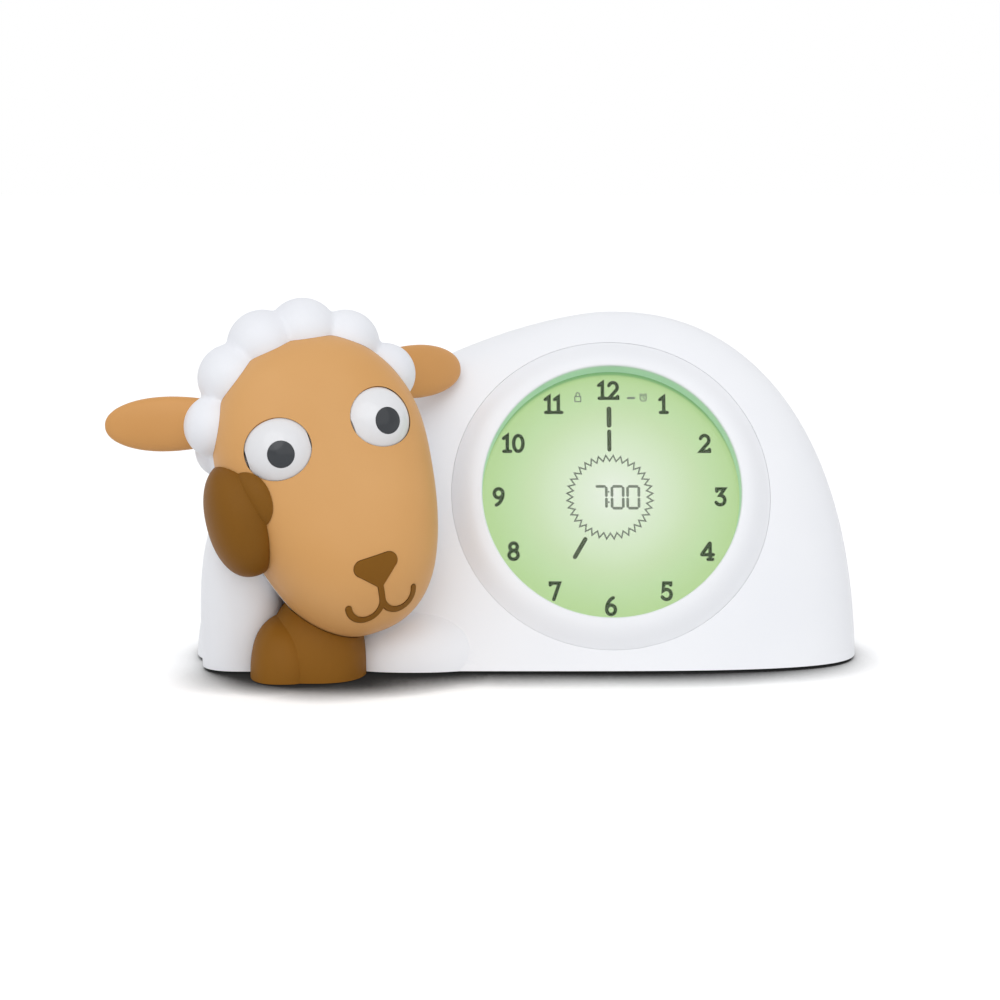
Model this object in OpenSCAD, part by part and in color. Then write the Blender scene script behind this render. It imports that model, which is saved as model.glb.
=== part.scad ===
// Children's alarm clock and night light shaped as a resting lamb.
// Millimetres. +Z is up, -Y is the side with the dial, and the origin lies on the table
// under the middle of the clock body.

/* [Body] */
// Height of the dome's ridge above the table
dome_height = 116; // [108:1:126]
// Reach of the body from the dial's centre line to its right end
reach_right = 84.5; // [82:0.5:92]
// Reach of the body from the dial's centre line to its left end
reach_left = 141.5; // [136:0.5:150]
// Depth of the body in front of the origin, at the table
front_reach = 44; // [43:0.5:50]
// Depth of the body behind the origin, at the table
rear_reach = 44; // [43:0.5:50]
// Distance of the ridge behind the origin
ridge_y = 14; // [13:0.5:15]
// Lean of the front from the vertical, in degrees
face_tilt = 22; // [20:0.5:23]
// Thickness of the moulded shells
wall = 2.4; // [2:0.1:2.8]
// Height of the shells' lower edge above the table
rim_z = 1; // [0.6:0.1:1.6]
// Distance of the joint between the shells behind the origin
split_y = 16; // [15:0.5:17]

/* [Dial] */
// Distance of the dial's centre from the body's middle
dial_x = 28.5; // [26:0.5:31]
// Height of the dial's centre, measured at the face
dial_z = 57.5; // [57:0.5:60]
// Radius of the visible dial
dial_r = 43.4; // [40:0.2:44]
// Outer radius of the ring round the dial
ring_r = 53.8; // [53:0.1:54.2]
// Height of the ring's rim above the plane of the face
ring_rise = 3.5; // [2:0.1:5]
// Depth of the lens below the plane of the face
lens_depth = 4; // [3.4:0.1:4.4]
// Thickness of the lens
lens_t = 1.5; // [1:0.1:1.8]
// Side of the square display glass
glass_side = 70; // [62:1:72]
// Thickness of the display glass
glass_t = 2.2; // [1.8:0.1:2.3]
// Thickness of the light diffuser
diffuser_t = 2; // [1.5:0.1:2.2]
// Outer radius of the light box
box_r = 48.2; // [47.9:0.1:48.3]
// Depth of the light box's back below the plane of the face
box_back = 18; // [17:0.5:18.5]
// Number of light-emitting diodes
led_count = 8; // [4:1:12]

/* [Head] */
// Half of the head's length, chin to crown
head_half = 50; // [47:0.5:53]
// Half of the head's width at the brow
brow_half = 36; // [35.5:0.5:38]
// Half of the head's width at the muzzle
muzzle_half = 30; // [28:0.5:32]
// Depth of the brow in front of the head's joint
brow_depth = 24; // [23.5:0.5:26]
// Depth of the muzzle in front of the head's joint
muzzle_depth = 33; // [30:0.5:35]
// Depth of the skull behind the head's joint
skull_depth = 29; // [27:0.5:31]
// Depth of the jaw behind the head's joint
jaw_depth = 13; // [11:0.5:15]
// Thickness of the head's mask and hood
head_wall = 2.2; // [1.8:0.1:2.5]
// Length of an ear
ear_length = 33; // [28:0.5:36]
// Width of an ear at its widest
ear_width = 21; // [18:0.5:24]
// Thickness of an ear
ear_t = 9; // [8:0.5:11]
// Radius of the largest fleece curls
curl_r = 12; // [10.5:0.1:12.5]

/* [Eyes] */
// Half of the distance between the eyes, at the face
eye_half_gap = 15.8; // [15.6:0.1:16.1]
// Height of the eyes above the head's middle
eye_z = 17; // [15:0.5:19]
// Radius of an eye's ball
eye_r = 12; // [11.6:0.1:12.2]
// Depth of the ball's centre below the face
eye_sink = 9.3; // [9:0.1:9.8]
// Angle by which each eye looks outwards
eye_toe = 12; // [11:0.5:13]
// Distance from a ball's middle to its flat inner end
eye_half_width = 9.8; // [9.4:0.1:9.9]
// Radius of a pupil
pupil_r = 4.3; // [3.5:0.1:5.5]
// Gear module of the lid drive
gear_module = 0.62; // [0.61:0.005:0.63]
// Width of the lid drive's gears
gear_t = 1.3; // [1:0.1:1.4]
// Radius of a lid motor
motor_r = 2.6; // [2.2:0.1:2.7]
// Length of a lid motor
motor_length = 10; // [8:0.5:11]

/* [Limbs] */
// Radius of the lying foreleg
foreleg_r = 21; // [19:0.5:22]
// Radius of the propped foreleg at the table
prop_r = 14; // [13.5:0.5:14.5]
// Half width of the lying hoof
hoof_half = 19; // [17:0.5:20]
// Half height of the propped hoof
paw_half = 19; // [17:0.5:21]

/* [Controls] */
// Number of setting buttons on the back
button_count = 5; // [3:1:5]
// Radius of a setting button
button_r = 4; // [3.2:0.1:4.4]
// Distance between the setting buttons
button_pitch = 12; // [11.5:0.5:12.5]
// Travel of a setting button
button_travel = 1; // [0.6:0.1:1.2]
// Height of the control bay's middle
bay_z = 80; // [78:0.5:81]
// Depth of the control bay's floor behind the origin
bay_y = 34.5; // [34:0.1:35]
// Travel of the volume slider
slider_travel = 6; // [4:0.5:7]
// Half length of the light button on the ridge
light_half = 13.5; // [12:0.5:14.5]
// Half width of the light button on the ridge
light_half_width = 5.5; // [4.5:0.1:5.8]
// Travel of the light button
light_travel = 1.2; // [0.8:0.1:1.4]

/* [Power] */
// Distance of the battery bay's middle from the origin
battery_x = -2; // [-4:0.5:0]
// Radius of a cell
cell_r = 7.1; // [6.8:0.1:7.25]
// Length of a cell
cell_length = 50; // [49:0.1:50.5]
// Depth of the battery door's seat behind the origin
door_y = 40; // [39.6:0.1:40.4]
// Radius of the speaker
speaker_r = 20; // [18:0.5:20]

/* [Hardware] */
// Radius of the housing screws' shanks
screw_r = 1.5; // [1.2:0.1:1.6]
// Radius of a rubber foot
foot_r = 7; // [6:0.5:8]
// Height of a rubber foot below the base plate
foot_h = 2; // [1.8:0.1:2.4]
// Gap between pieces that are fitted together
gap = 0.3; // [0.25:0.01:0.35]

/* [Hidden] */

// ---- Forms shared by several pieces ----

// Share left of a reach at a share q of the height, by a rounded fall of powers p and r
function fall(q, p, r) = pow(max(1 - pow(abs(q), p), 0), 1 / r);
function signed_pow(c, p) = sign(c) * pow(abs(c), p);
function mix(a, b, t) = a + (b - a) * min(max(t, 0), 1);

// Flatness of the body's level cuts: 2 is an ellipse, more is squarer
body_power = 3.6;
body_sides = 36;
body_levels = 10;
// A loft ends at this share of its height, in a small flat that closes it
loft_end = 0.9997;

// Reaches of the body's level cut at a share q of its height, for a surface moved out by g
function body_right(q, g) = dial_x + (reach_right + g) * fall(q, 2.25, 2.25);
function body_left(q, g) = dial_x - (reach_left + g) * fall(q, 2, 1.5);
function body_front(q, g) = ridge_y - (ridge_y + front_reach + g / cos(face_tilt)
    - tan(face_tilt) * q * (dome_height + g)) * fall(q, 9, 2.2);
function body_rear(q, g) = ridge_y + (rear_reach - ridge_y + g) * fall(q, 2.6, 2.6);

function level_cut(x0, x1, y0, y1, z, p, sides) = [for (i = [0:sides - 1]) [
    (x0 + x1) / 2 + (x1 - x0) / 2 * signed_pow(cos(360 * i / sides), 2 / p),
    (y0 + y1) / 2 + (y1 - y0) / 2 * signed_pow(sin(360 * i / sides), 2 / p), z]];

function body_cut(q, g) = level_cut(body_left(q, g), body_right(q, g), body_front(q, g), body_rear(q, g),
    q * (dome_height + g), body_power, body_sides);

// Solid through a list of level cuts that have the same number of points
module loft(cuts) {
    n = len(cuts[0]);
    polyhedron(
        points = [for (c = cuts) each c],
        faces = concat(
            [[for (j = [0:n - 1]) j]],
            [for (i = [0:len(cuts) - 2], j = [0:n - 1])
                [i * n + j, (i + 1) * n + j, (i + 1) * n + (j + 1) % n, i * n + (j + 1) % n]],
            [[for (j = [n - 1:-1:0]) (len(cuts) - 1) * n + j]]));
}

// Body moved out by g, from height z0 up
module body_form(g, z0) {
    q0 = z0 / (dome_height + g);
    loft([for (i = [0:body_levels]) body_cut(mix(q0, loft_end, sin(90 * i / body_levels)), g)]);
}

// Half an egg that stands on the table: half length, half width and height
module egg(rx, ry, h, p = 2.2, sides = 24, levels = 8) {
    loft([for (i = [0:levels])
        let (q = loft_end * sin(90 * i / levels), k = fall(q, p, p))
        level_cut(-rx * k, rx * k, -ry * k, ry * k, q * h, p, sides)]);
}

// Space in front of or behind a plane across Y
span = 400;
module before(y) { translate([-span / 2, y - span, -span / 2]) cube(span); }
module behind(y) { translate([-span / 2, y, -span / 2]) cube(span); }

// Places the dial's own frame: Z out of the face, Y up the face
module at_dial() {
    translate([dial_x, -front_reach + tan(face_tilt) * dial_z, dial_z])
        rotate([90 - face_tilt, 0, 0]) children();
}

// Y of the body's front skin at a place across and up
function front_y(x, z) = let (q = z / dome_height, x0 = body_left(q, 0), x1 = body_right(q, 0),
    y0 = body_front(q, 0), y1 = body_rear(q, 0))
    (y0 + y1) / 2 - (y1 - y0) / 2 * fall((2 * x - x0 - x1) / (x1 - x0), body_power, body_power);

// Height of the front skin over the dial's plane, found by repeated halving of the error
face_y = -front_reach + tan(face_tilt) * dial_z;
function skin_height(x, y, d = 0, steps = 10) = steps == 0 ? d : skin_height(x, y,
    (d + (face_y + y * sin(face_tilt)
        - front_y(dial_x + x, dial_z + y * cos(face_tilt) + d * sin(face_tilt))) / cos(face_tilt)) / 2,
    steps - 1);

// ---- Dial stack: depths below the plane of the face ----
lens_r = dial_r + 3.2;
recess_r = lens_r + gap;
glass_front = lens_depth + lens_t + 0.1;
glass_back = glass_front + glass_t;
ring_back = glass_back + 1.2;
flange_t = 2;
flange_r = ring_r + 1.6;
collar_r = flange_r + 0.5;
light_r = recess_r - 2.4;
box_floor = 2;
board_t = 1.6;
ring_screws = 4;
ring_screw_r = 1.2;
ring_screw_head = 2.1;
ring_screw_ring = box_r + ring_screw_head + gap;
ring_screw_bite = 4.5;

module dial_disc(r, front, back) {
    at_dial() translate([0, 0, -back]) cylinder(r = r, h = back - front, $fn = 96);
}

// Closed ring through profiles [radius, height], one for each angle
module lofted_ring(profiles) {
    n = len(profiles);
    m = len(profiles[0]);
    polyhedron(
        points = [for (i = [0:n - 1]) each [for (p = profiles[i])
            [p[0] * cos(360 * i / n), p[0] * sin(360 * i / n), p[1]]]],
        faces = [for (i = [0:n - 1], k = [0:m - 1])
            [i * m + k, i * m + (k + 1) % m, (i + 1) % n * m + (k + 1) % m, (i + 1) % n * m + k]]);
}

ring_sides = 64;
edge_round = 0.5;
function ring_profile(a) = let (e = skin_height(ring_r * cos(a), ring_r * sin(a)), rim = dial_r + 1.8) [
    [ring_r, -ring_back], [ring_r, e - edge_round], [ring_r - edge_round, e],
    [mix(ring_r, rim, 0.35), mix(e, ring_rise, 0.45)], [mix(ring_r, rim, 0.7), mix(e, ring_rise, 0.85)],
    [rim, ring_rise - 0.1], [dial_r + 0.8, ring_rise], [dial_r, ring_rise - 0.7],
    [dial_r, -lens_depth], [recess_r, -lens_depth], [recess_r, -ring_back]];

module ring_screw_places() {
    for (i = [0:ring_screws - 1]) rotate(45 + 360 * i / ring_screws)
        translate([ring_screw_ring, 0, 0]) children();
}

module bezel_ring() {
    color("white") difference() {
        at_dial() lofted_ring([for (i = [0:ring_sides - 1]) ring_profile(360 * i / ring_sides)]);
        at_dial() ring_screw_places() translate([0, 0, -ring_back - 1])
            cylinder(r = ring_screw_r + 0.05, h = ring_screw_bite - flange_t + 1.4, $fn = 24);
    }
}

module dial_lens() { color([0.8, 0.93, 0.78, 0.5]) dial_disc(lens_r, lens_depth, lens_depth + lens_t); }

module glass_outline(grow) {
    intersection() {
        square(glass_side + 2 * grow, center = true);
        circle(r = lens_r - 0.6 + grow, $fn = 96);
    }
}

module display_glass() {
    color([0.85, 0.94, 0.8]) at_dial() translate([0, 0, -glass_back])
        linear_extrude(glass_t) glass_outline(0);
}

module display_holder() {
    color("white") difference() {
        dial_disc(lens_r, glass_front, ring_back);
        at_dial() translate([0, 0, -glass_back]) linear_extrude(glass_t + 1) glass_outline(0.2);
        at_dial() translate([0, 0, -ring_back - 1]) linear_extrude(5) glass_outline(-1.5);
    }
}

module light_diffuser() { color([0.93, 0.97, 0.9]) dial_disc(lens_r, ring_back, ring_back + diffuser_t); }

module light_box() {
    color("white") difference() {
        union() {
            dial_disc(flange_r, ring_back, ring_back + flange_t);
            dial_disc(box_r, ring_back, box_back);
        }
        dial_disc(recess_r, ring_back - 1, ring_back + diffuser_t);
        dial_disc(light_r, ring_back - 1, box_back - box_floor);
        at_dial() ring_screw_places() translate([0, 0, -ring_back - flange_t - 1])
            cylinder(r = ring_screw_r + 0.15, h = flange_t + 2, $fn = 24);
        at_dial() translate([0, -light_r + 8, -box_back - 1]) cylinder(r = 2.5, h = box_floor + 2, $fn = 24);
        translate([-span / 2, -span / 2, rim_z + base_t + gap - span]) cube(span);
    }
}

module light_box_screws() {
    color("silver") at_dial() ring_screw_places() {
        translate([0, 0, -ring_back - ring_screw_bite + 2.1])
            cylinder(r = ring_screw_r, h = ring_screw_bite, $fn = 24);
        translate([0, 0, -ring_back - flange_t - 1.3]) cylinder(r = ring_screw_head, h = 1.3, $fn = 24);
    }
}

led_ring = 28;
led_r = 2.4;
led_board_back = box_back - box_floor;
module led_board() {
    color("seagreen") difference() {
        dial_disc(light_r - gap, led_board_back - board_t, led_board_back);
        dial_disc(12, 0, box_back);
    }
}

module leds() {
    color("lightyellow") at_dial() for (i = [0:led_count - 1]) rotate(360 * i / led_count)
        translate([led_ring, 0, -led_board_back + board_t]) {
            cylinder(r = led_r, h = 1, $fn = 32);
            translate([0, 0, 1]) intersection() {
                sphere(r = led_r - 0.4, $fn = 32);
                translate([-5, -5, -0.5]) cube([10, 10, 5]);
            }
        }
}

// ---- Limbs, as half eggs on the table ----
foreleg_at = [-38, -27];
foreleg_half = 29;
prop_at = [-94.5, -30];
prop_lean = 15;
prop_height = 56;
module foreleg_form(g) {
    translate([foreleg_at[0], foreleg_at[1], 0]) egg(foreleg_half + g, foreleg_r - 2 + g, foreleg_r + g, 2.2);
}
module prop_form(g) {
    loft([for (i = [0:8]) let (q = loft_end * sin(90 * i / 8), r = (prop_r + g) * fall(q, 2.8, 2.8),
        y = prop_at[1] - prop_lean * q)
        level_cut(prop_at[0] - r, prop_at[0] + r, y - r, y + r, q * (prop_height + g), 2.4, 24)]);
}

// Egg that is rounded above and below its middle
module ovoid(rx, ry, rz, p = 2.2, sides = 24, levels = 12) {
    loft([for (i = [0:levels]) let (q = loft_end * sin(180 * i / levels - 90), k = fall(q, p, p))
        level_cut(-rx * k, rx * k, -ry * k, ry * k, q * rz, p, sides)]);
}

// ---- Head ----
head_at = [-64.4, -44, 62.5];
head_turn = [-6, -15, 20];
head_power = 2.6;
head_sides = 32;
head_levels = 11;
module at_head() { translate(head_at) rotate(head_turn) children(); }

// Share of the brow's form at a share u of the head's height, the muzzle having the rest
function brow_share(u) = let (t = min(max((u + 0.7) / 1.2, 0), 1)) t * t * (3 - 2 * t);
function head_cut(u, g) = let (s = brow_share(u), k = fall(u, 2.5, 2.2),
    w = (mix(muzzle_half, brow_half, s) + g) * k,
    f = (mix(muzzle_depth, brow_depth, s) + g) * k,
    b = (mix(jaw_depth, skull_depth, s) + g) * k)
    [for (i = [0:head_sides - 1]) let (a = 360 * i / head_sides) [
        w * signed_pow(cos(a), 2 / head_power),
        (a > 180 ? f : b) * signed_pow(sin(a), 2 / head_power),
        u * (head_half + g)]];
module head_form(g) {
    loft([for (i = [0:head_levels]) head_cut(loft_end * sin(180 * i / head_levels - 90), g)]);
}

// ---- Eyes and lid drive, in the head's frame ----
pin_r = 1.5;
pin_play = 0.08;
eye_back = brow_depth - eye_sink;
eye_shell = 2;
socket_gap = 0.4;
gear_teeth = 26;
pinion_teeth = 22;
pressure = 25;
addendum = 0.85;
dedendum = 1.15;
backlash = 0.14;
// Depth to which the ball enters its gear
gear_bite = 0.4;
gear_pitch_r = gear_module * gear_teeth / 2;
pinion_pitch_r = gear_module * pinion_teeth / 2;
drive_reach = gear_pitch_r + pinion_pitch_r + 0.05;
// Angles of the lids and whites round the eye's axis, from straight ahead upwards
lid_travel = 107;
white_low = 46;
lid_start = 66;
lid_end = 174;
// Fall of the drive behind the eye, below straight back
drive_fall = 16;
// Reach of the ball's outer end, and the axle through the whites and lids
eye_outer = eye_half_width + 0.8;
axle_r = 4;

module sided(side) {
    if (side < 0) mirror([1, 0, 0]) children();
    else children();
}
module at_eye(side) {
    at_head() sided(side) translate([eye_half_gap, -eye_back, eye_z]) rotate([0, 0, eye_toe]) children();
}

// Turns a flat drawing in Y and Z into a plate that is thick along X
module along_x(x0, x1) { translate([x0, 0, 0]) rotate([90, 0, 90]) linear_extrude(x1 - x0) children(); }
module rod_x(r, x0, x1) { translate([x0, 0, 0]) rotate([0, 90, 0]) cylinder(r = r, h = x1 - x0, $fn = 48); }

// Involute teeth
function roll(r, base) = r <= base ? 0 : sqrt(pow(r / base, 2) - 1) * 180 / PI - acos(base / r);
function tooth(teeth, a) = let (r = gear_module * teeth / 2, base = r * cos(pressure),
    root = r - dedendum * gear_module, tip = r + addendum * gear_module,
    half = 90 / teeth - backlash / 2 / r * 180 / PI + roll(r, base),
    steps = [root, max(base, root), (base + r) / 2, r, (r + tip) / 2, tip])
    concat([for (q = steps) let (t = a - half + roll(q, base)) [q * cos(t), q * sin(t)]],
        [for (k = [len(steps) - 1:-1:0]) let (q = steps[k], t = a + half - roll(q, base)) [q * cos(t), q * sin(t)]]);

module gear_outline(teeth, first, last, start) {
    polygon(concat(last - first + 1 < teeth ? [[0, 0]] : [],
        [for (k = [first:last]) each tooth(teeth, start + 360 * k / teeth)]));
}

// Slice of a hollow ball between two angles round X, both counted from straight ahead, upwards
module ball_slice(r0, r1, low, high) {
    spread = (high - low) / 2;
    intersection() {
        difference() {
            rotate([0, 90, 0]) sphere(r = r1, $fn = 96);
            rotate([0, 90, 0]) sphere(r = r0, $fn = 96);
            for (x = [-eye_half_width - r1, eye_outer + r1]) translate([x, 0, 0]) cube(2 * r1, center = true);
            rod_x(axle_r + 0.05, -r1, r1);
        }
        along_x(-r1, r1) rotate(180 - (low + high) / 2) polygon([[0, 0], [3 * r1 * cos(spread), 3 * r1 * sin(spread)],
            [3 * r1, 0], [3 * r1 * cos(spread), -3 * r1 * sin(spread)]]);
    }
}

module eye_core(side) {
    gear_in = -eye_half_width - gear_t;
    color("ivory") at_eye(side) {
        rotate([0, 90, 0]) sphere(r = eye_r - eye_shell, $fn = 96);
        rod_x(axle_r, -eye_half_width - gear_bite, eye_outer);
        along_x(gear_in, -eye_half_width) {
            gear_outline(gear_teeth, -ceil(lid_travel * gear_teeth / 360), 1, -drive_fall);
            circle(r = axle_r, $fn = 48);
        }
        rod_x(pin_r, gear_in - 2.5, gear_in);
        rod_x(pin_r, eye_outer, eye_outer + gap + arm_t - 0.1);
    }
}

module eye_white(side) {
    color("whitesmoke") at_eye(side) difference() {
        ball_slice(eye_r - eye_shell + 0.05, eye_r, -white_low, lid_start);
        rotate([90, 0, 0]) cylinder(r = pupil_r + 0.05, h = 2 * eye_r, $fn = 48);
    }
}

module pupil(side) {
    color("black") at_eye(side) intersection() {
        difference() {
            sphere(r = eye_r, $fn = 96);
            sphere(r = eye_r - eye_shell + 0.05, $fn = 96);
        }
        rotate([90, 0, 0]) cylinder(r = pupil_r, h = 2 * eye_r, $fn = 48);
    }
}

module eyelid(side) {
    color("tan") at_eye(side)
        ball_slice(eye_r - eye_shell + 0.05, eye_r, lid_start + 0.2, lid_end);
}

motor_end = -eye_half_width + 0.5;
shaft_r = 0.8;
drive_y = drive_reach * cos(drive_fall);
drive_drop = drive_reach * sin(drive_fall);
module at_drive(side) { at_eye(side) translate([0, drive_y, -drive_drop]) children(); }
module lid_pinion(side) {
    color("white") at_drive(side) {
        along_x(-eye_half_width - gear_t, -eye_half_width)
            rotate(180 - drive_fall + 180 / pinion_teeth) gear_outline(pinion_teeth, 0, pinion_teeth - 1, 0);
        rod_x(shaft_r, -eye_half_width, motor_end + 3);
    }
}

module lid_motors() {
    color("silver") for (side = [-1, 1]) at_drive(side) difference() {
        rod_x(motor_r, motor_end, motor_end + motor_length);
        rod_x(shaft_r + 0.05, motor_end - 1, motor_end + 3.2);
    }
}

// Bracket that carries both eyes and both motors
shelf_t = 2;
shelf_top = eye_z - eye_r - 1;
plate_half = eye_half_gap - (eye_half_width + gear_t) * cos(eye_toe) - eye_r * sin(eye_toe) - 0.4;
arm_in = eye_outer + gap;
arm_t = 1.2;
hub_r = 2.6;
cradle_half = motor_r + 0.6;
cradle_rise = 1.2;
bracket_screw = [18, -5];
tab_y = -8;
tab_t = 2;
module eye_bracket() {
    reach = eye_half_gap + (arm_in + arm_t) * cos(eye_toe);
    drop = eye_z - shelf_top;
    color("lightgray") difference() {
        union() {
            at_head() translate([-reach + 1, -eye_back - 1, shelf_top - shelf_t])
                cube([2 * reach - 2, eye_back + 10, shelf_t]);
            at_head() translate([-plate_half, -eye_back - 5.4, shelf_top - shelf_t])
                cube([2 * plate_half, eye_back + 0.4, eye_z + hub_r - shelf_top + shelf_t]);
            for (side = [-1, 1]) at_eye(side) {
                rod_x(hub_r, -eye_half_width - gear_t - 4.2, -eye_half_width - gear_t - gap);
                translate([arm_in, 0, 0]) rotate([0, 90, 0]) cylinder(r1 = hub_r, r2 = hub_r - 0.7, h = arm_t, $fn = 48);
                translate([arm_in, -0.5, -drop - 0.5]) cube([arm_t, hub_r + 2, drop + 0.5]);
                translate([motor_end + 0.4, drive_y - cradle_half, -drop - 0.5])
                    cube([motor_length - 0.8, 2 * cradle_half, drop + 0.5 - drive_drop - cradle_rise]);
            }
            for (side = [-1, 1]) at_head() translate([side * bracket_screw[0] - 3.5, tab_y, bracket_screw[1] - 3])
                cube([7, tab_t, shelf_top - bracket_screw[1] + 2]);
        }
        for (side = [-1, 1]) at_eye(side) {
            rod_x(pin_r + pin_play, -eye_half_width - gear_t - 2.8, -eye_half_width - gear_t);
            rod_x(pin_r + pin_play, arm_in - 1, arm_in + arm_t + 1);
        }
        for (side = [-1, 1]) at_drive(side) rod_x(motor_r + 0.05, motor_end - 1, motor_end + motor_length + 1);
        for (side = [-1, 1]) at_head() translate([side * bracket_screw[0], tab_y + tab_t + 1, bracket_screw[1]])
            rotate([90, 0, 0]) cylinder(r = 1.25, h = tab_t + 2, $fn = 24);
    }
}

module eye_bracket_screws() {
    color("silver") at_head() for (side = [-1, 1])
        translate([side * bracket_screw[0], tab_y + tab_t, bracket_screw[1]]) rotate([90, 0, 0]) {
            cylinder(r = 1.1, h = tab_t + 5, $fn = 24);
            translate([0, 0, -1.4]) cylinder(r = 2.2, h = 1.4, $fn = 24);
        }
}

// Neck: a tube through the hood's back and the body's front
neck_at = [-54, 48];
neck_r = 11;
neck_flange_r = 14;
neck_pad_r = 16;
hood_seat = -31;
body_seat = -9;
module neck_rod(r, y0, y1) { translate([neck_at[0], y1, neck_at[1]]) rotate([90, 0, 0]) cylinder(r = r, h = y1 - y0, $fn = 64); }

module neck_collar() {
    color("white") difference() {
        union() {
            neck_rod(neck_flange_r, hood_seat - 2, hood_seat);
            neck_rod(neck_r, hood_seat - 2, body_seat + 4);
        }
        neck_rod(neck_r - 3, hood_seat - 3, body_seat + 5);
    }
}
module neck_nut() {
    color("white") difference() {
        neck_rod(neck_flange_r, body_seat, body_seat + 3);
        neck_rod(neck_r + 0.1, body_seat - 1, body_seat + 4);
    }
}

mask_screw_boss = 3;
module face_mask() {
    color("sandybrown") difference() {
        at_head() intersection() { head_form(0); before(0); }
        difference() {
            at_head() head_form(-head_wall);
            for (side = [-1, 1]) at_head() translate([side * bracket_screw[0], tab_y, bracket_screw[1]])
                rotate([90, 0, 0]) cylinder(r = mask_screw_boss, h = 40, $fn = 32);
        }
        for (side = [-1, 1]) {
            at_eye(side) sphere(r = eye_r + socket_gap, $fn = 96);
            at_head() translate([side * bracket_screw[0], tab_y + 1, bracket_screw[1]])
                rotate([90, 0, 0]) cylinder(r = 1.15, h = 6.5, $fn = 24);
        }
        at_head() difference() {
            mouth_prism(0.15);
            head_form(-1);
        }
    }
}

// Nose and mouth, inlaid in the muzzle
nose_z = -25;
nose_half = 4.5;
nose_round = 2.8;
mouth_r = 5.6;
mouth_drop = 11.5;
module mouth_outline(g) {
    stroke = 0.9 + g;
    for (s = [-1, 1]) {
        translate([s * nose_half, 0]) circle(r = nose_round + g, $fn = 32);
        difference() {
            translate([s * mouth_r, -mouth_drop]) circle(r = mouth_r + stroke, $fn = 64);
            translate([s * mouth_r, -mouth_drop]) circle(r = mouth_r - stroke, $fn = 64);
            translate([-40, -mouth_drop + g]) square(80);
        }
    }
    translate([0, nose_round / 2 - 0.6]) square([2 * nose_half, nose_round + 1.2 + 2 * g], center = true);
    polygon([[-nose_half - nose_round * 0.8 - g, -nose_round * 0.6], [nose_half + nose_round * 0.8 + g, -nose_round * 0.6],
        [stroke, -nose_half - nose_round], [-stroke, -nose_half - nose_round]]);
    translate([-stroke, -mouth_drop - 0.5]) square([2 * stroke, mouth_drop]);
}
module mouth_prism(g) { rotate([90, 0, 0]) translate([0, nose_z, 8]) linear_extrude(40) mouth_outline(g); }
module nose_inlay() {
    color("saddlebrown") at_head() difference() {
        intersection() {
            mouth_prism(0);
            head_form(0.3);
        }
        head_form(-0.95);
    }
}

// Fleece: rows of curls over the back of the head, each row further behind the face
// Each row: its angle behind the face, its number of curls and the angle of its first curl
curl_rows = [[8, 6, 36], [32, 6, 29], [56, 6, 14], [78, 2, 62]];
curl_out = 1.5;
module curl(a, depth) {
    u = sin(a) * cos(depth);
    w = mix(muzzle_half, brow_half, brow_share(0.9 * u));
    out = curl_out * sin(a);
    translate([(w + out) * cos(a) * cos(depth), (skull_depth + out) * sin(depth), (head_half + out) * u])
        sphere(r = curl_r * (0.7 + 0.3 * sin(a)) - depth / 40, $fn = 48);
}
module fleece_form() {
    for (row = curl_rows, k = [0:row[1] - 1]) curl(row[2] + (180 - 2 * row[2]) * k / (row[1] - 1), row[0]);
}
module fleece_hood() {
    color("white") difference() {
        union() {
            at_head() intersection() { head_form(0); behind(0); }
            at_head() fleece_form();
        }
        at_head() intersection() { head_form(0.05); before(0); }
        difference() {
            at_head() head_form(-head_wall);
            neck_rod(neck_pad_r, hood_seat, 0);
        }
        neck_rod(neck_r + 0.15, hood_seat - 20, 10);
        neck_rod(neck_flange_r + gap, hood_seat - 5, hood_seat);
        body_form(gap, 10);
    }
}

// Ears: leaves, hollowed a little in front
ear_at = [26, 5, 30];
module leaf(length, width, t) {
    loft([for (i = [0:10]) let (q = loft_end * sin(90 * i / 10), k = fall(q, 2.2, 2.2) * (0.62 + 0.85 * q * (1 - 0.45 * q)))
        level_cut(-width / 2 * k, width / 2 * k, -t / 2 * k, t / 2 * k, q * length, 2.2, 20)]);
}
module ear(side, lift, sweep) {
    color("sandybrown") difference() {
        at_head() sided(side) translate(ear_at) rotate([0, 0, sweep]) rotate([0, 90 - lift, 0])
            leaf(ear_length + 6, ear_width, ear_t);
        at_head() head_form(0.05);
        at_head() fleece_form();
    }
}
module ear_left() { ear(-1, 14, 20); }
module ear_right() { ear(1, -10, 26); }

// ---- Hooves ----
hoof_at = [-72, -41];
hoof_height = 27;
hoof_low = 0.4;
toe_half = hoof_half * 0.6;
paw_at = [-92, -57, 54];
paw_toe = 0.72;
// Two toes, the outer one smaller and a little further forward
module lying_toes() {
    translate([hoof_at[0] + hoof_half * 0.12, hoof_at[1], hoof_low])
        egg(hoof_half * 0.88, hoof_half, hoof_height, 2.4, 24, 7);
    translate([hoof_at[0] - hoof_half + toe_half, hoof_at[1] - 3, hoof_low])
        egg(toe_half, hoof_half - 1.5, hoof_height * 0.74, 2.4, 20, 6);
}
module propped_toes() {
    translate(paw_at) rotate([0, -12, 10]) {
        ovoid(11.5, paw_half, paw_half, 2.2, 20, 10);
        translate([7, -2, paw_half * 0.3]) rotate([0, -14, 0])
            ovoid(11.5 * paw_toe, paw_half * 0.86, paw_half * paw_toe, 2.2, 20, 10);
    }
}
module hoof_lying() {
    color("saddlebrown") difference() {
        lying_toes();
        body_form(gap, -1);
        foreleg_form(gap);
        prop_form(gap);
        at_head() head_form(gap);
    }
}
module hoof_propped() {
    color("saddlebrown") difference() {
        propped_toes();
        prop_form(gap);
        body_form(gap, -1);
        at_head() head_form(gap);
    }
}

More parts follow.
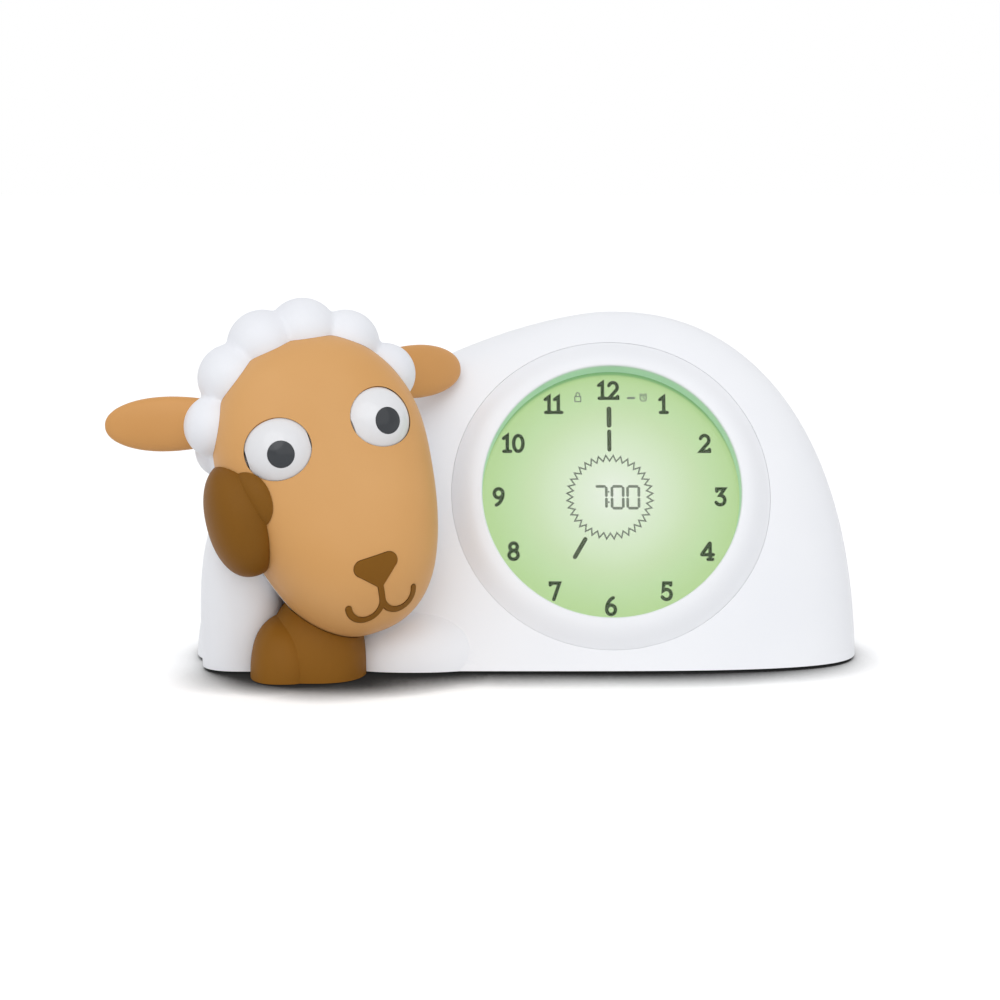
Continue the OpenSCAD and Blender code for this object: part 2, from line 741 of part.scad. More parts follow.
// ---- Housing ----
boss_r = 4;
boss_places = [[-92, 20], [-46, 76], [98, 20], [89, 69]];
base_t = 2.4;
foot_places = [[0, 0], [-95, -30], [-38, -27], [52, -27], [92, 6], [-48, 30], [56, 30]];

module boss_rods(r, y0, y1) {
    for (p = boss_places) translate([p[0], y1, p[1]]) rotate([90, 0, 0]) cylinder(r = r, h = y1 - y0, $fn = 32);
}

module front_shell() {
    color("white") difference() {
        union() {
            intersection() { body_form(0, rim_z); before(split_y); }
            intersection() {
                union() { foreleg_form(0); prop_form(0); }
                translate([-span / 2, -span / 2, rim_z]) cube(span);
            }
        }
        difference() {
            union() {
                body_form(-wall, -1);
                translate([0, 0, -1]) foreleg_form(-wall);
                translate([0, 0, -1]) prop_form(-wall);
            }
            intersection() {
                at_dial() translate([0, 0, -ring_back]) cylinder(r = collar_r, h = 60, $fn = 96);
                translate([-span / 2, -span / 2, base_top + gap]) cube(span);
            }
            boss_rods(boss_r, -60, split_y);
            neck_rod(neck_pad_r, -60, body_seat);
            at_base(concat(front_posts, [side_post]), post_r, base_top, post_top);
        }
        at_base(concat(front_posts, [side_post]), screw_r + 0.05, base_top - 1, base_top + 9);
        at_dial() translate([0, 0, -ring_back - 1]) cylinder(r = ring_r + gap, h = 80, $fn = 96);
        boss_rods(screw_r + 0.05, split_y - 12, split_y + 1);
        dial_disc(flange_r + gap, ring_back, ring_back + flange_t + 1);
        neck_rod(neck_r + 0.15, -60, 0);
        at_head() head_form(gap);
    }
}

function rear_y(x, z) = let (q = z / dome_height, x0 = body_left(q, 0), x1 = body_right(q, 0),
    y0 = body_front(q, 0), y1 = body_rear(q, 0))
    (y0 + y1) / 2 + (y1 - y0) / 2 * fall((2 * x - x0 - x1) / (x1 - x0), body_power, body_power);

// Row along the back's own direction, out of the body
module rod_y(x, z, r, y0, y1) { translate([x, y1, z]) rotate([90, 0, 0]) cylinder(r = r, h = y1 - y0, $fn = 64); }

// Flat shape with round ends
module stadium(half_length, half_width) {
    square([2 * (half_length - half_width), 2 * half_width], center = true);
    for (s = [-1, 1]) translate([s * (half_length - half_width), 0]) circle(r = half_width, $fn = 48);
}
// Prism of a stadium that lies in X and Z, between two depths
module stadium_y(x, z, half_length, half_width, y0, y1) {
    translate([x, y1, z]) rotate([90, 0, 0]) linear_extrude(y1 - y0) stadium(half_length, half_width);
}

// ---- Control bay on the back ----
bay_edge = 6.5;
flange_lap = 1.4;
floor_back = bay_y - wall;
slider_half = 2.5;
slider_plate_half = 5;
button_row = (button_count - 1) * button_pitch;
bay_half = (bay_edge + button_row + button_r + flange_lap + slider_plate_half + slider_half + slider_travel + 4.6) / 2;
bay_x = dial_x - 12;
bay_half_height = 7.5;
slider_x = bay_x - bay_half + bay_edge + button_row + button_r + flange_lap + slider_plate_half + 0.6;
button_flange_t = 1.2;
button_proud = 1.6;
switch_body = 3.5;
switch_plunger = 0.7;
switch_board_face = floor_back - button_flange_t - button_travel - 0.1 - switch_plunger - switch_body;
stake_x = bay_half + 2;
function button_x(i) = bay_x - bay_half + bay_edge + i * button_pitch;

module setting_button(i) {
    color("whitesmoke") {
        rod_y(button_x(i), bay_z, button_r, floor_back - button_flange_t, bay_y + button_proud);
        rod_y(button_x(i), bay_z, button_r + flange_lap, floor_back - button_flange_t, floor_back);
    }
}

module volume_slider() {
    color("gray") {
        translate([slider_x - slider_half, floor_back - 0.2, bay_z - 2])
            cube([2 * slider_half, wall + button_proud, 4]);
        translate([slider_x - slider_plate_half, floor_back - 1.1, bay_z - 4])
            cube([2 * slider_plate_half, 1, 8]);
    }
}

module button_board() {
    color("seagreen") difference() {
        translate([bay_x - stake_x - 3, switch_board_face - board_t, bay_z - 6.5])
            cube([2 * stake_x + 6, board_t, 13]);
        for (s = [-1, 1]) rod_y(bay_x + s * stake_x, bay_z, 1.15, switch_board_face - 5, switch_board_face + 1);
    }
}

module tact_switch() {
    translate([-3, -3, 0]) cube([6, 6, switch_body]);
    cylinder(r = 1.7, h = switch_body + switch_plunger, $fn = 32);
}
module tact_switches() {
    color("dimgray") {
        for (i = [0:button_count - 1]) translate([button_x(i), switch_board_face, bay_z])
            rotate([-90, 0, 0]) tact_switch();
        translate([slider_x - 4, switch_board_face, bay_z - 3])
            cube([8 + slider_travel, floor_back - switch_board_face - 1.4, 6]);
        at_light() translate([0, 0, light_board_top]) tact_switch();
    }
}

// ---- Light button behind the ridge ----
light_y = ridge_y + 14;
light_share = (light_y - ridge_y) / (rear_reach - ridge_y);
light_q = fall(light_share, 2.6, 2.6);
light_lean = atan(pow(light_share, 1.6) / (rear_reach - ridge_y) / (pow(light_q, 1.6) / dome_height));
light_proud = 0.6;
light_collar = 6;
light_flange_t = 1.2;
light_board_top = -light_collar - light_flange_t - light_travel - 0.1 - switch_plunger - switch_body;
light_post_x = light_half + 3.5;
module at_light() { translate([dial_x, light_y, light_q * dome_height]) rotate([-light_lean, 0, 0]) children(); }

module light_button() {
    color("whitesmoke") {
        intersection() {
            body_form(light_proud, 60);
            at_light() translate([0, 0, -light_collar - light_flange_t])
                linear_extrude(30) stadium(light_half, light_half_width);
        }
        at_light() translate([0, 0, -light_collar - light_flange_t])
            linear_extrude(light_flange_t - 0.05) stadium(light_half + 1.2, light_half_width + 1.2);
    }
}
module light_board() {
    color("seagreen") difference() {
        at_light() translate([-light_post_x - 3, -4, light_board_top - board_t])
            cube([2 * light_post_x + 6, 8, board_t]);
        for (s = [-1, 1]) at_light() translate([s * light_post_x, 1, light_board_top - 5]) cylinder(r = 1.15, h = 10, $fn = 24);
    }
}

// ---- Battery bay ----
cell_count = 3;
cell_play = 0.3;
box_wall = 1.6;
cell_pitch = 2 * cell_r + cell_play;
contact_room = 3;
tray_half = cell_length / 2 + contact_room;
tray_low = 8;
tray_height = cell_count * cell_pitch + cell_play;
tray_z = tray_low + tray_height / 2;
tray_depth = 2 * cell_r + 2 * cell_play;
tray_back = door_y - tray_depth;
door_half = tray_half + 7;
door_half_height = tray_height / 2 + 1.5;
door_screw_x = tray_half + 4.3;
tray_flange = 1.5;
tray_flange_t = 2;
cell_y = door_y - cell_play - cell_r;
function cell_z(i) = tray_low + cell_play + cell_r + i * cell_pitch;

module slab(half_x, half_z, y0, y1) {
    translate([battery_x - half_x, y0, tray_z - half_z]) cube([2 * half_x, y1 - y0, 2 * half_z]);
}
module door_screw_rods(r, y0, y1) {
    for (s = [-1, 1]) rod_y(battery_x + s * door_screw_x, tray_z, r, y0, y1);
}

module battery_box() {
    color("white") difference() {
        union() {
            slab(door_half + tray_flange, door_half_height + tray_flange, door_y - tray_flange_t, door_y);
            slab(tray_half + box_wall, tray_height / 2 + box_wall, tray_back - box_wall, door_y);
            door_screw_rods(3, door_y - 9, door_y);
        }
        slab(tray_half, tray_height / 2, tray_back, door_y + 1);
        door_screw_rods(1.25, door_y - 8, door_y + 1);
    }
}
module battery_cells() {
    color("goldenrod") for (i = [0:cell_count - 1]) {
        flip = i % 2 == 0 ? 1 : -1;
        translate([battery_x, cell_y, cell_z(i)]) {
            rod_x(cell_r, -cell_length / 2 + (flip < 0 ? 1.2 : 0), cell_length / 2 - (flip > 0 ? 1.2 : 0));
            rod_x(2.7, flip > 0 ? 0 : -cell_length / 2, flip > 0 ? cell_length / 2 : 0);
        }
    }
}
module battery_contacts() {
    color("silver") for (i = [0:cell_count - 1], s = [-1, 1]) {
        spring = s * (i % 2 == 0 ? 1 : -1) < 0;
        translate([battery_x, cell_y, cell_z(i)]) sided(s) {
            translate([tray_half - 0.5, -5.5, -5.5]) cube([0.5, 11, 11]);
            if (spring) translate([tray_half - 0.5, 0, 0]) rotate([0, -90, 0])
                cylinder(r1 = 5, r2 = 3, h = contact_room - 0.7, $fn = 48);
            else rod_x(2, tray_half - contact_room + 0.2, tray_half - 0.5);
        }
    }
}
module battery_door() {
    color("white") difference() {
        intersection() {
            body_form(0, rim_z);
            slab(door_half, door_half_height, door_y, 80);
        }
        door_screw_rods(1.25, door_y - 1, 80);
        door_screw_rods(2.9, door_y + 1.6, 80);
    }
}
module door_screws() {
    color("silver") {
        door_screw_rods(1.1, door_y - 6, door_y + 1.6);
        door_screw_rods(2.3, door_y + 1.6, door_y + 2.4);
    }
}

// ---- Speaker and power socket ----
speaker_at = [64, 38];
speaker_y = 36.5;
speaker_rim_t = 2;
magnet_r = 9;
module speaker_revolve(points) {
    translate([speaker_at[0], speaker_y, speaker_at[1]]) rotate([-90, 0, 0]) rotate_extrude($fn = 96) polygon(points);
}
module speaker_basket() {
    color("dimgray") speaker_revolve([[0, -14], [magnet_r, -14], [magnet_r, -8.5], [magnet_r + 1, -8.5],
        [speaker_r - 2.5, -speaker_rim_t], [speaker_r, -speaker_rim_t], [speaker_r, 0], [speaker_r - 1.5, 0],
        [speaker_r - 1.5, -1], [speaker_r - 3.5, -1], [magnet_r - 1, -7.5], [0, -7.5]]);
}
module speaker_cone() {
    color("black") speaker_revolve([[0, -3.4], [4, -4.4], [6, -5.6], [speaker_r - 3.6, -0.9],
        [speaker_r - 1.6, -0.9], [speaker_r - 1.6, -0.3], [speaker_r - 4, -0.3], [6.4, -4.9], [4, -3.8], [0, -2.8]]);
}
socket_at = [-64, 27];
socket_y = 37;
module power_socket() {
    color("black") difference() {
        union() {
            translate([socket_at[0] - 5, socket_y - 9, socket_at[1] - 5.5]) cube([10, 9, 11]);
            rod_y(socket_at[0], socket_at[1], 4, socket_y - 1, socket_y + 3.4);
        }
        difference() {
            rod_y(socket_at[0], socket_at[1], 2.75, socket_y - 6, socket_y + 5);
            rod_y(socket_at[0], socket_at[1], 1, socket_y - 7, socket_y + 2);
        }
    }
}

// ---- Boards ----
board_y = 12;
board_x = [-30, 72];
board_low = 9;
board_high = 46;
rail_height = 12;
module main_board() {
    color("seagreen") translate([board_x[0], board_y, board_low])
        cube([board_x[1] - board_x[0], board_t, board_high - board_low]);
}
module main_board_chips() {
    color("black") {
        translate([6, board_y - 1.8, 22]) cube([14, 1.8, 14]);
        translate([38, board_y - 1.4, 28]) cube([9, 1.4, 6]);
        translate([-18, board_y - 3, 30]) cube([12, 3, 5]);
        for (x = [50, 60]) translate([x, board_y, 17]) rotate([90, 0, 0]) cylinder(r = 3.5, h = 9, $fn = 32);
    }
}

// ---- Base plate, feet and screws ----
post_r = 4;
post_top = 16;
base_top = rim_z + base_t;
front_posts = [for (x = [2, 84]) [x, front_y(x, post_top) + wall + 1.5]];
rear_posts = [for (x = [-70, 76]) [x, rear_y(x, post_top) - wall - 3.2]];
side_post = [body_left(post_top / dome_height, 0) + wall + 2.5, 0];
base_posts = concat(front_posts, rear_posts, [side_post]);
module at_base(places, r, z0, z1) {
    for (p = places) translate([p[0], p[1], z0]) cylinder(r = r, h = z1 - z0, $fn = 32);
}

function flat(cut) = [for (p = cut) [p[0], p[1]]];
// Level cut of the faceted body at height z, between the loft's two lowest cuts
function low_cut(z, g) = let (q0 = -1 / (dome_height + g), q1 = mix(q0, loft_end, sin(90 / body_levels)),
    a = body_cut(q0, g), b = body_cut(q1, g), t = (z - a[0][2]) / (b[0][2] - a[0][2]))
    [for (i = [0:body_sides - 1]) a[i] + (b[i] - a[i]) * t];
module base_outline() {
    inset = wall + gap;
    limb_inset = inset + 1;
    polygon(flat(low_cut(base_top, -inset)));
    translate(foreleg_at) polygon(flat(level_cut(-foreleg_half + limb_inset, foreleg_half - limb_inset,
        -foreleg_r + 2 + limb_inset, foreleg_r - 2 - limb_inset, 0, 2.2, 24)));
    translate(prop_at) polygon(flat(level_cut(-prop_r + limb_inset, prop_r - limb_inset,
        -prop_r + limb_inset, prop_r - limb_inset,
        0, 2.4, 24)));
}

module base_plate() {
    color("lightgray") difference() {
        union() {
            difference() {
                translate([0, 0, rim_z]) linear_extrude(base_t) base_outline();
                at_base(foot_places, foot_r + 0.1, 0, foot_h);
            }
            for (x = board_x) translate([x - (x < 0 ? 2 : 4), board_y - 2.5, base_top - 0.5])
                cube([6, board_t + 5, board_low + rail_height - base_top]);
        }
        translate([board_x[0] - 0.2, board_y - 0.1, board_low])
            cube([board_x[1] - board_x[0] + 0.4, board_t + 0.2, 40]);
        at_base(base_posts, screw_r + 0.2, 0, 10);
        at_base(base_posts, 2.9, 0, rim_z + 1.3);
    }
}
module base_screws() {
    color("silver") {
        at_base(base_posts, screw_r, rim_z + 1, base_top + 6.5);
        at_base(base_posts, 2.6, rim_z + 0.2, rim_z + 1.3);
    }
}
module rubber_feet() { color("dimgray") at_base(foot_places, foot_r, 0, foot_h); }

module housing_screws() {
    color("silver") {
        boss_rods(screw_r, split_y - 10, split_y + 4);
        boss_rods(2.6, split_y + 3, split_y + 5);
    }
}

module bay_block(grow, y0, y1) { stadium_y(bay_x, bay_z, bay_half + grow, bay_half_height + grow, y0, y1); }

module rear_shell() {
    color("white") difference() {
        intersection() { body_form(0, rim_z); behind(split_y); }
        difference() {
            body_form(-wall, -1);
            bay_block(wall, floor_back, 60);
            for (s = [-1, 1]) rod_y(bay_x + s * stake_x, bay_z, 2.5, switch_board_face, 60);
            for (s = [-1, 1]) rod_y(bay_x + s * stake_x, bay_z, 1, switch_board_face - board_t - 0.4, 60);
            boss_rods(boss_r, split_y, 60);
            difference() {
                rod_y(speaker_at[0], speaker_at[1], speaker_r + 2, speaker_y, 60);
                rod_y(speaker_at[0], speaker_at[1], speaker_r - 2, speaker_y - 1, 61);
            }
            rod_y(socket_at[0], socket_at[1], 7.5, socket_y, 60);
            at_base(rear_posts, post_r, base_top, post_top);
            at_light() translate([0, 0, -light_collar]) linear_extrude(30)
                stadium(light_half + 3, light_half_width + 3);
            for (s = [-1, 1]) at_light() translate([s * light_post_x, 1, light_board_top]) cylinder(r = 2.2, h = 30, $fn = 32);
            for (s = [-1, 1]) at_light() translate([s * light_post_x, 1, light_board_top - board_t - 0.4]) cylinder(r = 1, h = 30, $fn = 24);
        }
        bay_block(0, bay_y, 80);
        for (i = [0:button_count - 1]) rod_y(button_x(i), bay_z, button_r + 0.15, floor_back - 1, bay_y + 1);
        translate([slider_x - slider_half - gap, floor_back - 1, bay_z - 2 - gap])
            cube([2 * slider_half + slider_travel + 2 * gap, wall + 2, 4 + 2 * gap]);
        boss_rods(screw_r + 0.15, split_y - 1, 60);
        boss_rods(3.1, split_y + 3, 60);
        at_light() translate([0, 0, -20]) linear_extrude(40) stadium(light_half + gap, light_half_width + gap);
        rod_y(socket_at[0], socket_at[1], 4.1, socket_y - 1, 60);
        for (n = [0:3], i = [0:max(6 * n - 1, 0)]) rotate_about(speaker_at, n, i);
        rod_y(speaker_at[0], speaker_at[1], speaker_r + gap, 20, speaker_y);
        slab(door_half + gap, door_half_height + gap, door_y - 1, 80);
        slab(door_half + tray_flange + gap, door_half_height + tray_flange + gap, 0, door_y);
        at_base(rear_posts, screw_r + 0.05, base_top - 1, base_top + 9);
    }
}
grille_step = 4.8;
module rotate_about(centre, n, i) {
    a = 60 * i / max(n, 1);
    rod_y(centre[0] + n * grille_step * cos(a), centre[1] + n * grille_step * sin(a), 1.1, speaker_y, 60);
}

front_shell();
rear_shell();
base_plate();
base_screws();
rubber_feet();
housing_screws();
bezel_ring();
dial_lens();
display_glass();
display_holder();
light_diffuser();
light_box();
light_box_screws();
led_board();
leds();
face_mask();
fleece_hood();
nose_inlay();
ear_left();
ear_right();
neck_collar();
neck_nut();
eye_bracket();
eye_bracket_screws();
eye_core(-1);  // eye_core_left
eye_core(1);  // eye_core_right
eye_white(-1);  // eye_white_left
eye_white(1);  // eye_white_right
pupil(-1);  // pupil_left
pupil(1);  // pupil_right
eyelid(-1);  // eyelid_left
eyelid(1);  // eyelid_right
lid_motors();
lid_pinion(-1);  // lid_pinion_left
lid_pinion(1);  // lid_pinion_right
hoof_lying();
hoof_propped();
main_board();
main_board_chips();
button_board();
tact_switches();
setting_button(0);  // button_1
setting_button(1);  // button_2
setting_button(2);  // button_3
setting_button(3);  // button_4
setting_button(4);  // button_5
volume_slider();
light_button();
light_board();
battery_box();
battery_cells();
battery_contacts();
battery_door();
door_screws();
speaker_basket();
speaker_cone();
power_socket();
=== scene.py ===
# Children's alarm clock and night light: a domed white body with a lit round dial, and a
# lamb that rests against its left end. Lengths below are millimetres unless a name says
# otherwise, and every piece is written to its mesh in metres.
import math

import bmesh
import bpy
from mathutils import Matrix, Vector


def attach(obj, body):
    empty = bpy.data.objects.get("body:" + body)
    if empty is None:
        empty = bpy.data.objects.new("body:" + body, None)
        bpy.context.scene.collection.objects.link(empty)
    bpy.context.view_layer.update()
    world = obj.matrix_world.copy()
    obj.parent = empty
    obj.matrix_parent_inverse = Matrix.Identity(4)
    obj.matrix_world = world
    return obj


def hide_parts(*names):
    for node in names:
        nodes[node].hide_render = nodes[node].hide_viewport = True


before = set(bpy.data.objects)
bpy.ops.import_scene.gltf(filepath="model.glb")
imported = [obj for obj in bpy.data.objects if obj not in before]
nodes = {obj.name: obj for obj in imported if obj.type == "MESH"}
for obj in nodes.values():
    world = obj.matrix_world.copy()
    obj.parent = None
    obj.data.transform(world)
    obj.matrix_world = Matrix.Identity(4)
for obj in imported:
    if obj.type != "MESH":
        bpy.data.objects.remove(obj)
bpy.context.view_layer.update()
scene = bpy.context.scene
MM = 0.001

# ---- Camera ----
# A long lens, level with the middle of the clock and raised by eight degrees, so that the
# base line stays nearly straight and the inner wall of the dial's ring shows at the top.
CAMERA_TARGET = Vector((-9.0, -12.0, 53.6)) * MM
CAMERA_DISTANCE = 800 * MM
CAMERA_RISE = math.radians(8)
CAMERA_LENS = 84.67
CAMERA_FILM = 36
camera_data = bpy.data.cameras.new("camera")
camera_data.sensor_width = CAMERA_FILM
camera_data.lens = CAMERA_LENS
camera = bpy.data.objects.new("camera", camera_data)
scene.collection.objects.link(camera)
camera_back = Vector((0, -math.cos(CAMERA_RISE), math.sin(CAMERA_RISE)))
camera.location = CAMERA_TARGET + camera_back * CAMERA_DISTANCE
camera.rotation_euler = (-camera_back).to_track_quat("-Z", "Y").to_euler()
scene.camera = camera
scene.view_settings.view_transform = "Standard"

# ---- Table, backdrop and lights ----
# A white table under an even, soft light: an open white room, one broad lamp high in front
# on the left, and a weaker one on the right.
TABLE_SIDE = 14.0
SHADE_REACH = 34.0
SHADE_RISE = math.radians(20)
SHADE_LOW, SHADE_HIGH, SHADE_LEAST = 0.45, 0.82, 0.03
TABLE_TONE, TABLE_GLOW, TABLE_BOUNCE = 0.9, 0.3, 0.82
ROOM_TINT, ROOM_LIGHT = (0.97, 0.98, 1.0, 1), 0.71
BLACK, WHITE = (0, 0, 0, 1), (1, 1, 1, 1)
LAMPS = (("key_lamp", 0.72, 60, (46, -20, 0)), ("side_lamp", 0.4, 70, (56, 42, 0)))


def set_inputs(tree, node, inputs):
    """Gives each input of a node a plain value, or a link from an output."""
    for label, value in inputs.items():
        if isinstance(value, bpy.types.NodeSocket):
            tree.links.new(value, node.inputs[label])
        else:
            node.inputs[label].default_value = value


def add_node(tree, kind, inputs=None, **settings):
    made = tree.nodes.new(kind)
    for label, value in settings.items():
        setattr(made, label, value)
    set_inputs(tree, made, inputs or {})
    return made


def maths(tree, operation, *values):
    """Output of one sum on numbers or outputs."""
    return add_node(tree, "ShaderNodeMath", dict(enumerate(values)), operation=operation).outputs["Value"]


def spread(tree, value, low, high, least=0.0, most=1.0):
    """Output that runs from least to most while a value runs from low to high."""
    return add_node(tree, "ShaderNodeMapRange", {
        "Value": value, "From Min": low, "From Max": high, "To Min": least, "To Max": most}).outputs["Result"]


def blend(tree, factor, first, second):
    """Output of a colour between two colours."""
    return add_node(tree, "ShaderNodeMix", {"Factor": factor, "A": first, "B": second},
                    data_type="RGBA").outputs["Result"]


def seen_itself(tree):
    """One where the camera or a mirrored or clear view meets the surface, and zero for its light."""
    path = add_node(tree, "ShaderNodeLightPath").outputs
    return maths(tree, "MAXIMUM", path["Is Camera Ray"],
                 maths(tree, "MAXIMUM", path["Is Glossy Ray"], path["Is Transmission Ray"]))


table_mesh = bpy.data.meshes.new("table_top")
table_mesh.from_pydata([(x * TABLE_SIDE, y * TABLE_SIDE, 0) for x, y in ((-1, -1), (1, -1), (1, 1), (-1, 1))],
                       [], [(0, 1, 2, 3)])
table = bpy.data.objects.new("table_top", table_mesh)
scene.collection.objects.link(table)
# The camera and reflections see a painted shadow on the table, darkest close in front of what stands on it,
# in the table's colour and in its own faint light; that faint light lifts the open table to plain white.
table_paint = bpy.data.materials.new("white_table")
table_paint.use_nodes = True
table_tree = table_paint.node_tree
table_tree.nodes.clear()
table_way = add_node(table_tree, "ShaderNodeCombineXYZ",
                     {"Y": math.cos(SHADE_RISE), "Z": math.sin(SHADE_RISE)})
table_near = add_node(table_tree, "ShaderNodeAmbientOcclusion",
                      {"Distance": SHADE_REACH * MM, "Normal": table_way.outputs["Vector"]}, samples=32)
# Painted shadow: occlusion, looked for towards the back and up, darkens the table's colour and glow.
painted_table_shadow = spread(table_tree, table_near.outputs["AO"], SHADE_LOW, SHADE_HIGH, SHADE_LEAST)
table_matt = add_node(table_tree, "ShaderNodeBsdfDiffuse", {
    "Color": blend(table_tree, painted_table_shadow, BLACK, (TABLE_TONE, TABLE_TONE, TABLE_TONE, 1))})
table_lift = add_node(table_tree, "ShaderNodeEmission",
                      {"Strength": maths(table_tree, "MULTIPLY", painted_table_shadow, TABLE_GLOW)})
table_sum = add_node(table_tree, "ShaderNodeAddShader",
                     {0: table_matt.outputs["BSDF"], 1: table_lift.outputs["Emission"]})
table_bounce = add_node(table_tree, "ShaderNodeBsdfDiffuse",
                        {"Color": (TABLE_BOUNCE, TABLE_BOUNCE, TABLE_BOUNCE, 1)})
table_gate = add_node(table_tree, "ShaderNodeMixShader", {
    "Fac": seen_itself(table_tree), 1: table_bounce.outputs["BSDF"], 2: table_sum.outputs["Shader"]})
add_node(table_tree, "ShaderNodeOutputMaterial", {"Surface": table_gate.outputs["Shader"]})
table_mesh.materials.append(table_paint)

room = bpy.data.worlds.new("white_room")
scene.world = room
room.use_nodes = True
room_tree = room.node_tree
room_tree.nodes.clear()
room_fill = add_node(room_tree, "ShaderNodeBackground", {"Color": ROOM_TINT, "Strength": ROOM_LIGHT})
room_white = add_node(room_tree, "ShaderNodeBackground", {"Color": WHITE, "Strength": 1})
room_gate = add_node(room_tree, "ShaderNodeMixShader", {
    "Fac": seen_itself(room_tree), 1: room_fill.outputs["Background"], 2: room_white.outputs["Background"]})
add_node(room_tree, "ShaderNodeOutputWorld", {"Surface": room_gate.outputs["Shader"]})

for lamp_name, lamp_power, lamp_spread, lamp_turn in LAMPS:
    lamp_data = bpy.data.lights.new(lamp_name, "SUN")
    lamp_data.energy = lamp_power
    lamp_data.angle = math.radians(lamp_spread)
    lamp = bpy.data.objects.new(lamp_name, lamp_data)
    lamp.rotation_euler = [math.radians(a) for a in lamp_turn]
    scene.collection.objects.link(lamp)

# ---- Front shell ----
# The front half of the dome, moulded in one with the sleeves of both forelegs, in satin
# white ABS 2.4 mm thick. Its level cuts are rounded rectangles that shrink towards a ridge.
DOME_HEIGHT = 116.0
DIAL_X, DIAL_Z = 28.5, 57.5
REACH_RIGHT, REACH_LEFT = 84.5, 141.5
FRONT_REACH, REAR_REACH = 44.0, 44.0
RIDGE_Y = 14.0
FACE_TILT = math.radians(22)
WALL = 2.4
RIM_Z = 1.0
SPLIT_Y = 16.0
BODY_POWER = 3.6
LOFT_END = 0.9997
FIT_GAP = 0.3


def fall(share, p, r):
    """Share left of a reach, in a rounded fall of two powers."""
    return max(1 - abs(share) ** p, 0) ** (1 / r)


def signed_power(value, power):
    return math.copysign(abs(value) ** power, value)


def mix(a, b, t):
    return a + (b - a) * min(max(t, 0), 1)


def body_reaches(q, grow):
    """Left, right, front and rear of the body at a share q of its height."""
    return (
        DIAL_X - (REACH_LEFT + grow) * fall(q, 2, 1.5),
        DIAL_X + (REACH_RIGHT + grow) * fall(q, 2.25, 2.25),
        RIDGE_Y - (RIDGE_Y + FRONT_REACH + grow / math.cos(FACE_TILT)
                   - math.tan(FACE_TILT) * q * (DOME_HEIGHT + grow)) * fall(q, 9, 2.2),
        RIDGE_Y + (REAR_REACH - RIDGE_Y + grow) * fall(q, 2.6, 2.6))


def level_cut(x0, x1, y0, y1, z, power, sides):
    """Rounded rectangle at a height, the squarer the higher its power."""
    turn = [2 * math.pi * i / sides for i in range(sides)]
    return [((x0 + x1) / 2 + (x1 - x0) / 2 * signed_power(math.cos(a), 2 / power),
             (y0 + y1) / 2 + (y1 - y0) / 2 * signed_power(math.sin(a), 2 / power), z) for a in turn]


def rising(start, levels):
    """Shares of a height, closer together towards the top."""
    return [mix(start, LOFT_END, math.sin(math.pi / 2 * i / levels)) for i in range(levels + 1)]


def body_cuts(grow, low, sides=240, levels=84):
    high = DOME_HEIGHT + grow
    return [level_cut(*body_reaches(q, grow), q * high, BODY_POWER, sides)
            for q in rising(low / high, levels)]


def mesh_object(name, points, faces, place=Matrix.Identity(4)):
    """Closed mesh from millimetre points, with its normals outwards."""
    data = bpy.data.meshes.new(name)
    data.from_pydata([(place @ Vector(p)) * MM for p in points], [], faces)
    shape = bmesh.new()
    shape.from_mesh(data)
    bmesh.ops.recalc_face_normals(shape, faces=shape.faces)
    shape.to_mesh(data)
    shape.free()
    made = bpy.data.objects.new(name, data)
    scene.collection.objects.link(made)
    return made


def loft(name, cuts, place=Matrix.Identity(4)):
    """Solid through level cuts that have the same number of points."""
    n = len(cuts[0])
    faces = [tuple(range(n)), tuple(range((len(cuts) - 1) * n, len(cuts) * n))]
    faces += [(i * n + j, i * n + (j + 1) % n, (i + 1) * n + (j + 1) % n, (i + 1) * n + j)
              for i in range(len(cuts) - 1) for j in range(n)]
    return mesh_object(name, [p for cut in cuts for p in cut], faces, place)


def prism(name, outline, low, high, place=Matrix.Identity(4)):
    """Straight solid over a flat outline, from one height to another."""
    n = len(outline)
    points = [(x, y, z) for z in (low, high) for x, y in outline]
    faces = [tuple(range(n)), tuple(range(n, 2 * n))]
    faces += [(j, (j + 1) % n, n + (j + 1) % n, n + j) for j in range(n)]
    return mesh_object(name, points, faces, place)


def circle(radius, sides=96, x=0.0, y=0.0):
    return [(x + radius * math.cos(2 * math.pi * i / sides), y + radius * math.sin(2 * math.pi * i / sides))
            for i in range(sides)]


def rectangle(x0, x1, y0, y1):
    return [(x0, y0), (x1, y0), (x1, y1), (x0, y1)]


def box_solid(x0, x1, y0, y1, z0, z1, place=Matrix.Identity(4)):
    return prism("box", rectangle(x0, x1, y0, y1), z0, z1, place)


def placed(at, *turns):
    """Frame at a place, turned by degrees about one axis after another."""
    made = Matrix.Translation(at)
    for axis, degrees in turns:
        made = made @ Matrix.Rotation(math.radians(degrees), 4, axis)
    return made


def applied(piece):
    """Piece with its modifiers taken into one plain mesh."""
    bpy.context.view_layer.update()
    done = bpy.data.meshes.new_from_object(piece.evaluated_get(bpy.context.evaluated_depsgraph_get()))
    piece.modifiers.clear()
    piece.data = done
    return piece


def join_by(operation, target, tools):
    """Adds, cuts or keeps with each tool in turn, and deletes the tools."""
    for tool in tools:
        change = target.modifiers.new("change", "BOOLEAN")
        change.operation = operation
        change.object = tool
        change.solver = "EXACT"
    applied(target)
    for tool in tools:
        bpy.data.objects.remove(tool)
    return target


def smooth(piece, sharp_degrees=32):
    """Merges doubles, and shades all but the sharp edges as round."""
    shape = bmesh.new()
    shape.from_mesh(piece.data)
    bmesh.ops.remove_doubles(shape, verts=shape.verts, dist=0.002 * MM)
    bmesh.ops.dissolve_degenerate(shape, edges=shape.edges, dist=0.001 * MM)
    shape.to_mesh(piece.data)
    shape.free()
    piece.data.shade_smooth()
    piece.data.set_sharp_from_angle(angle=math.radians(sharp_degrees))
    return piece


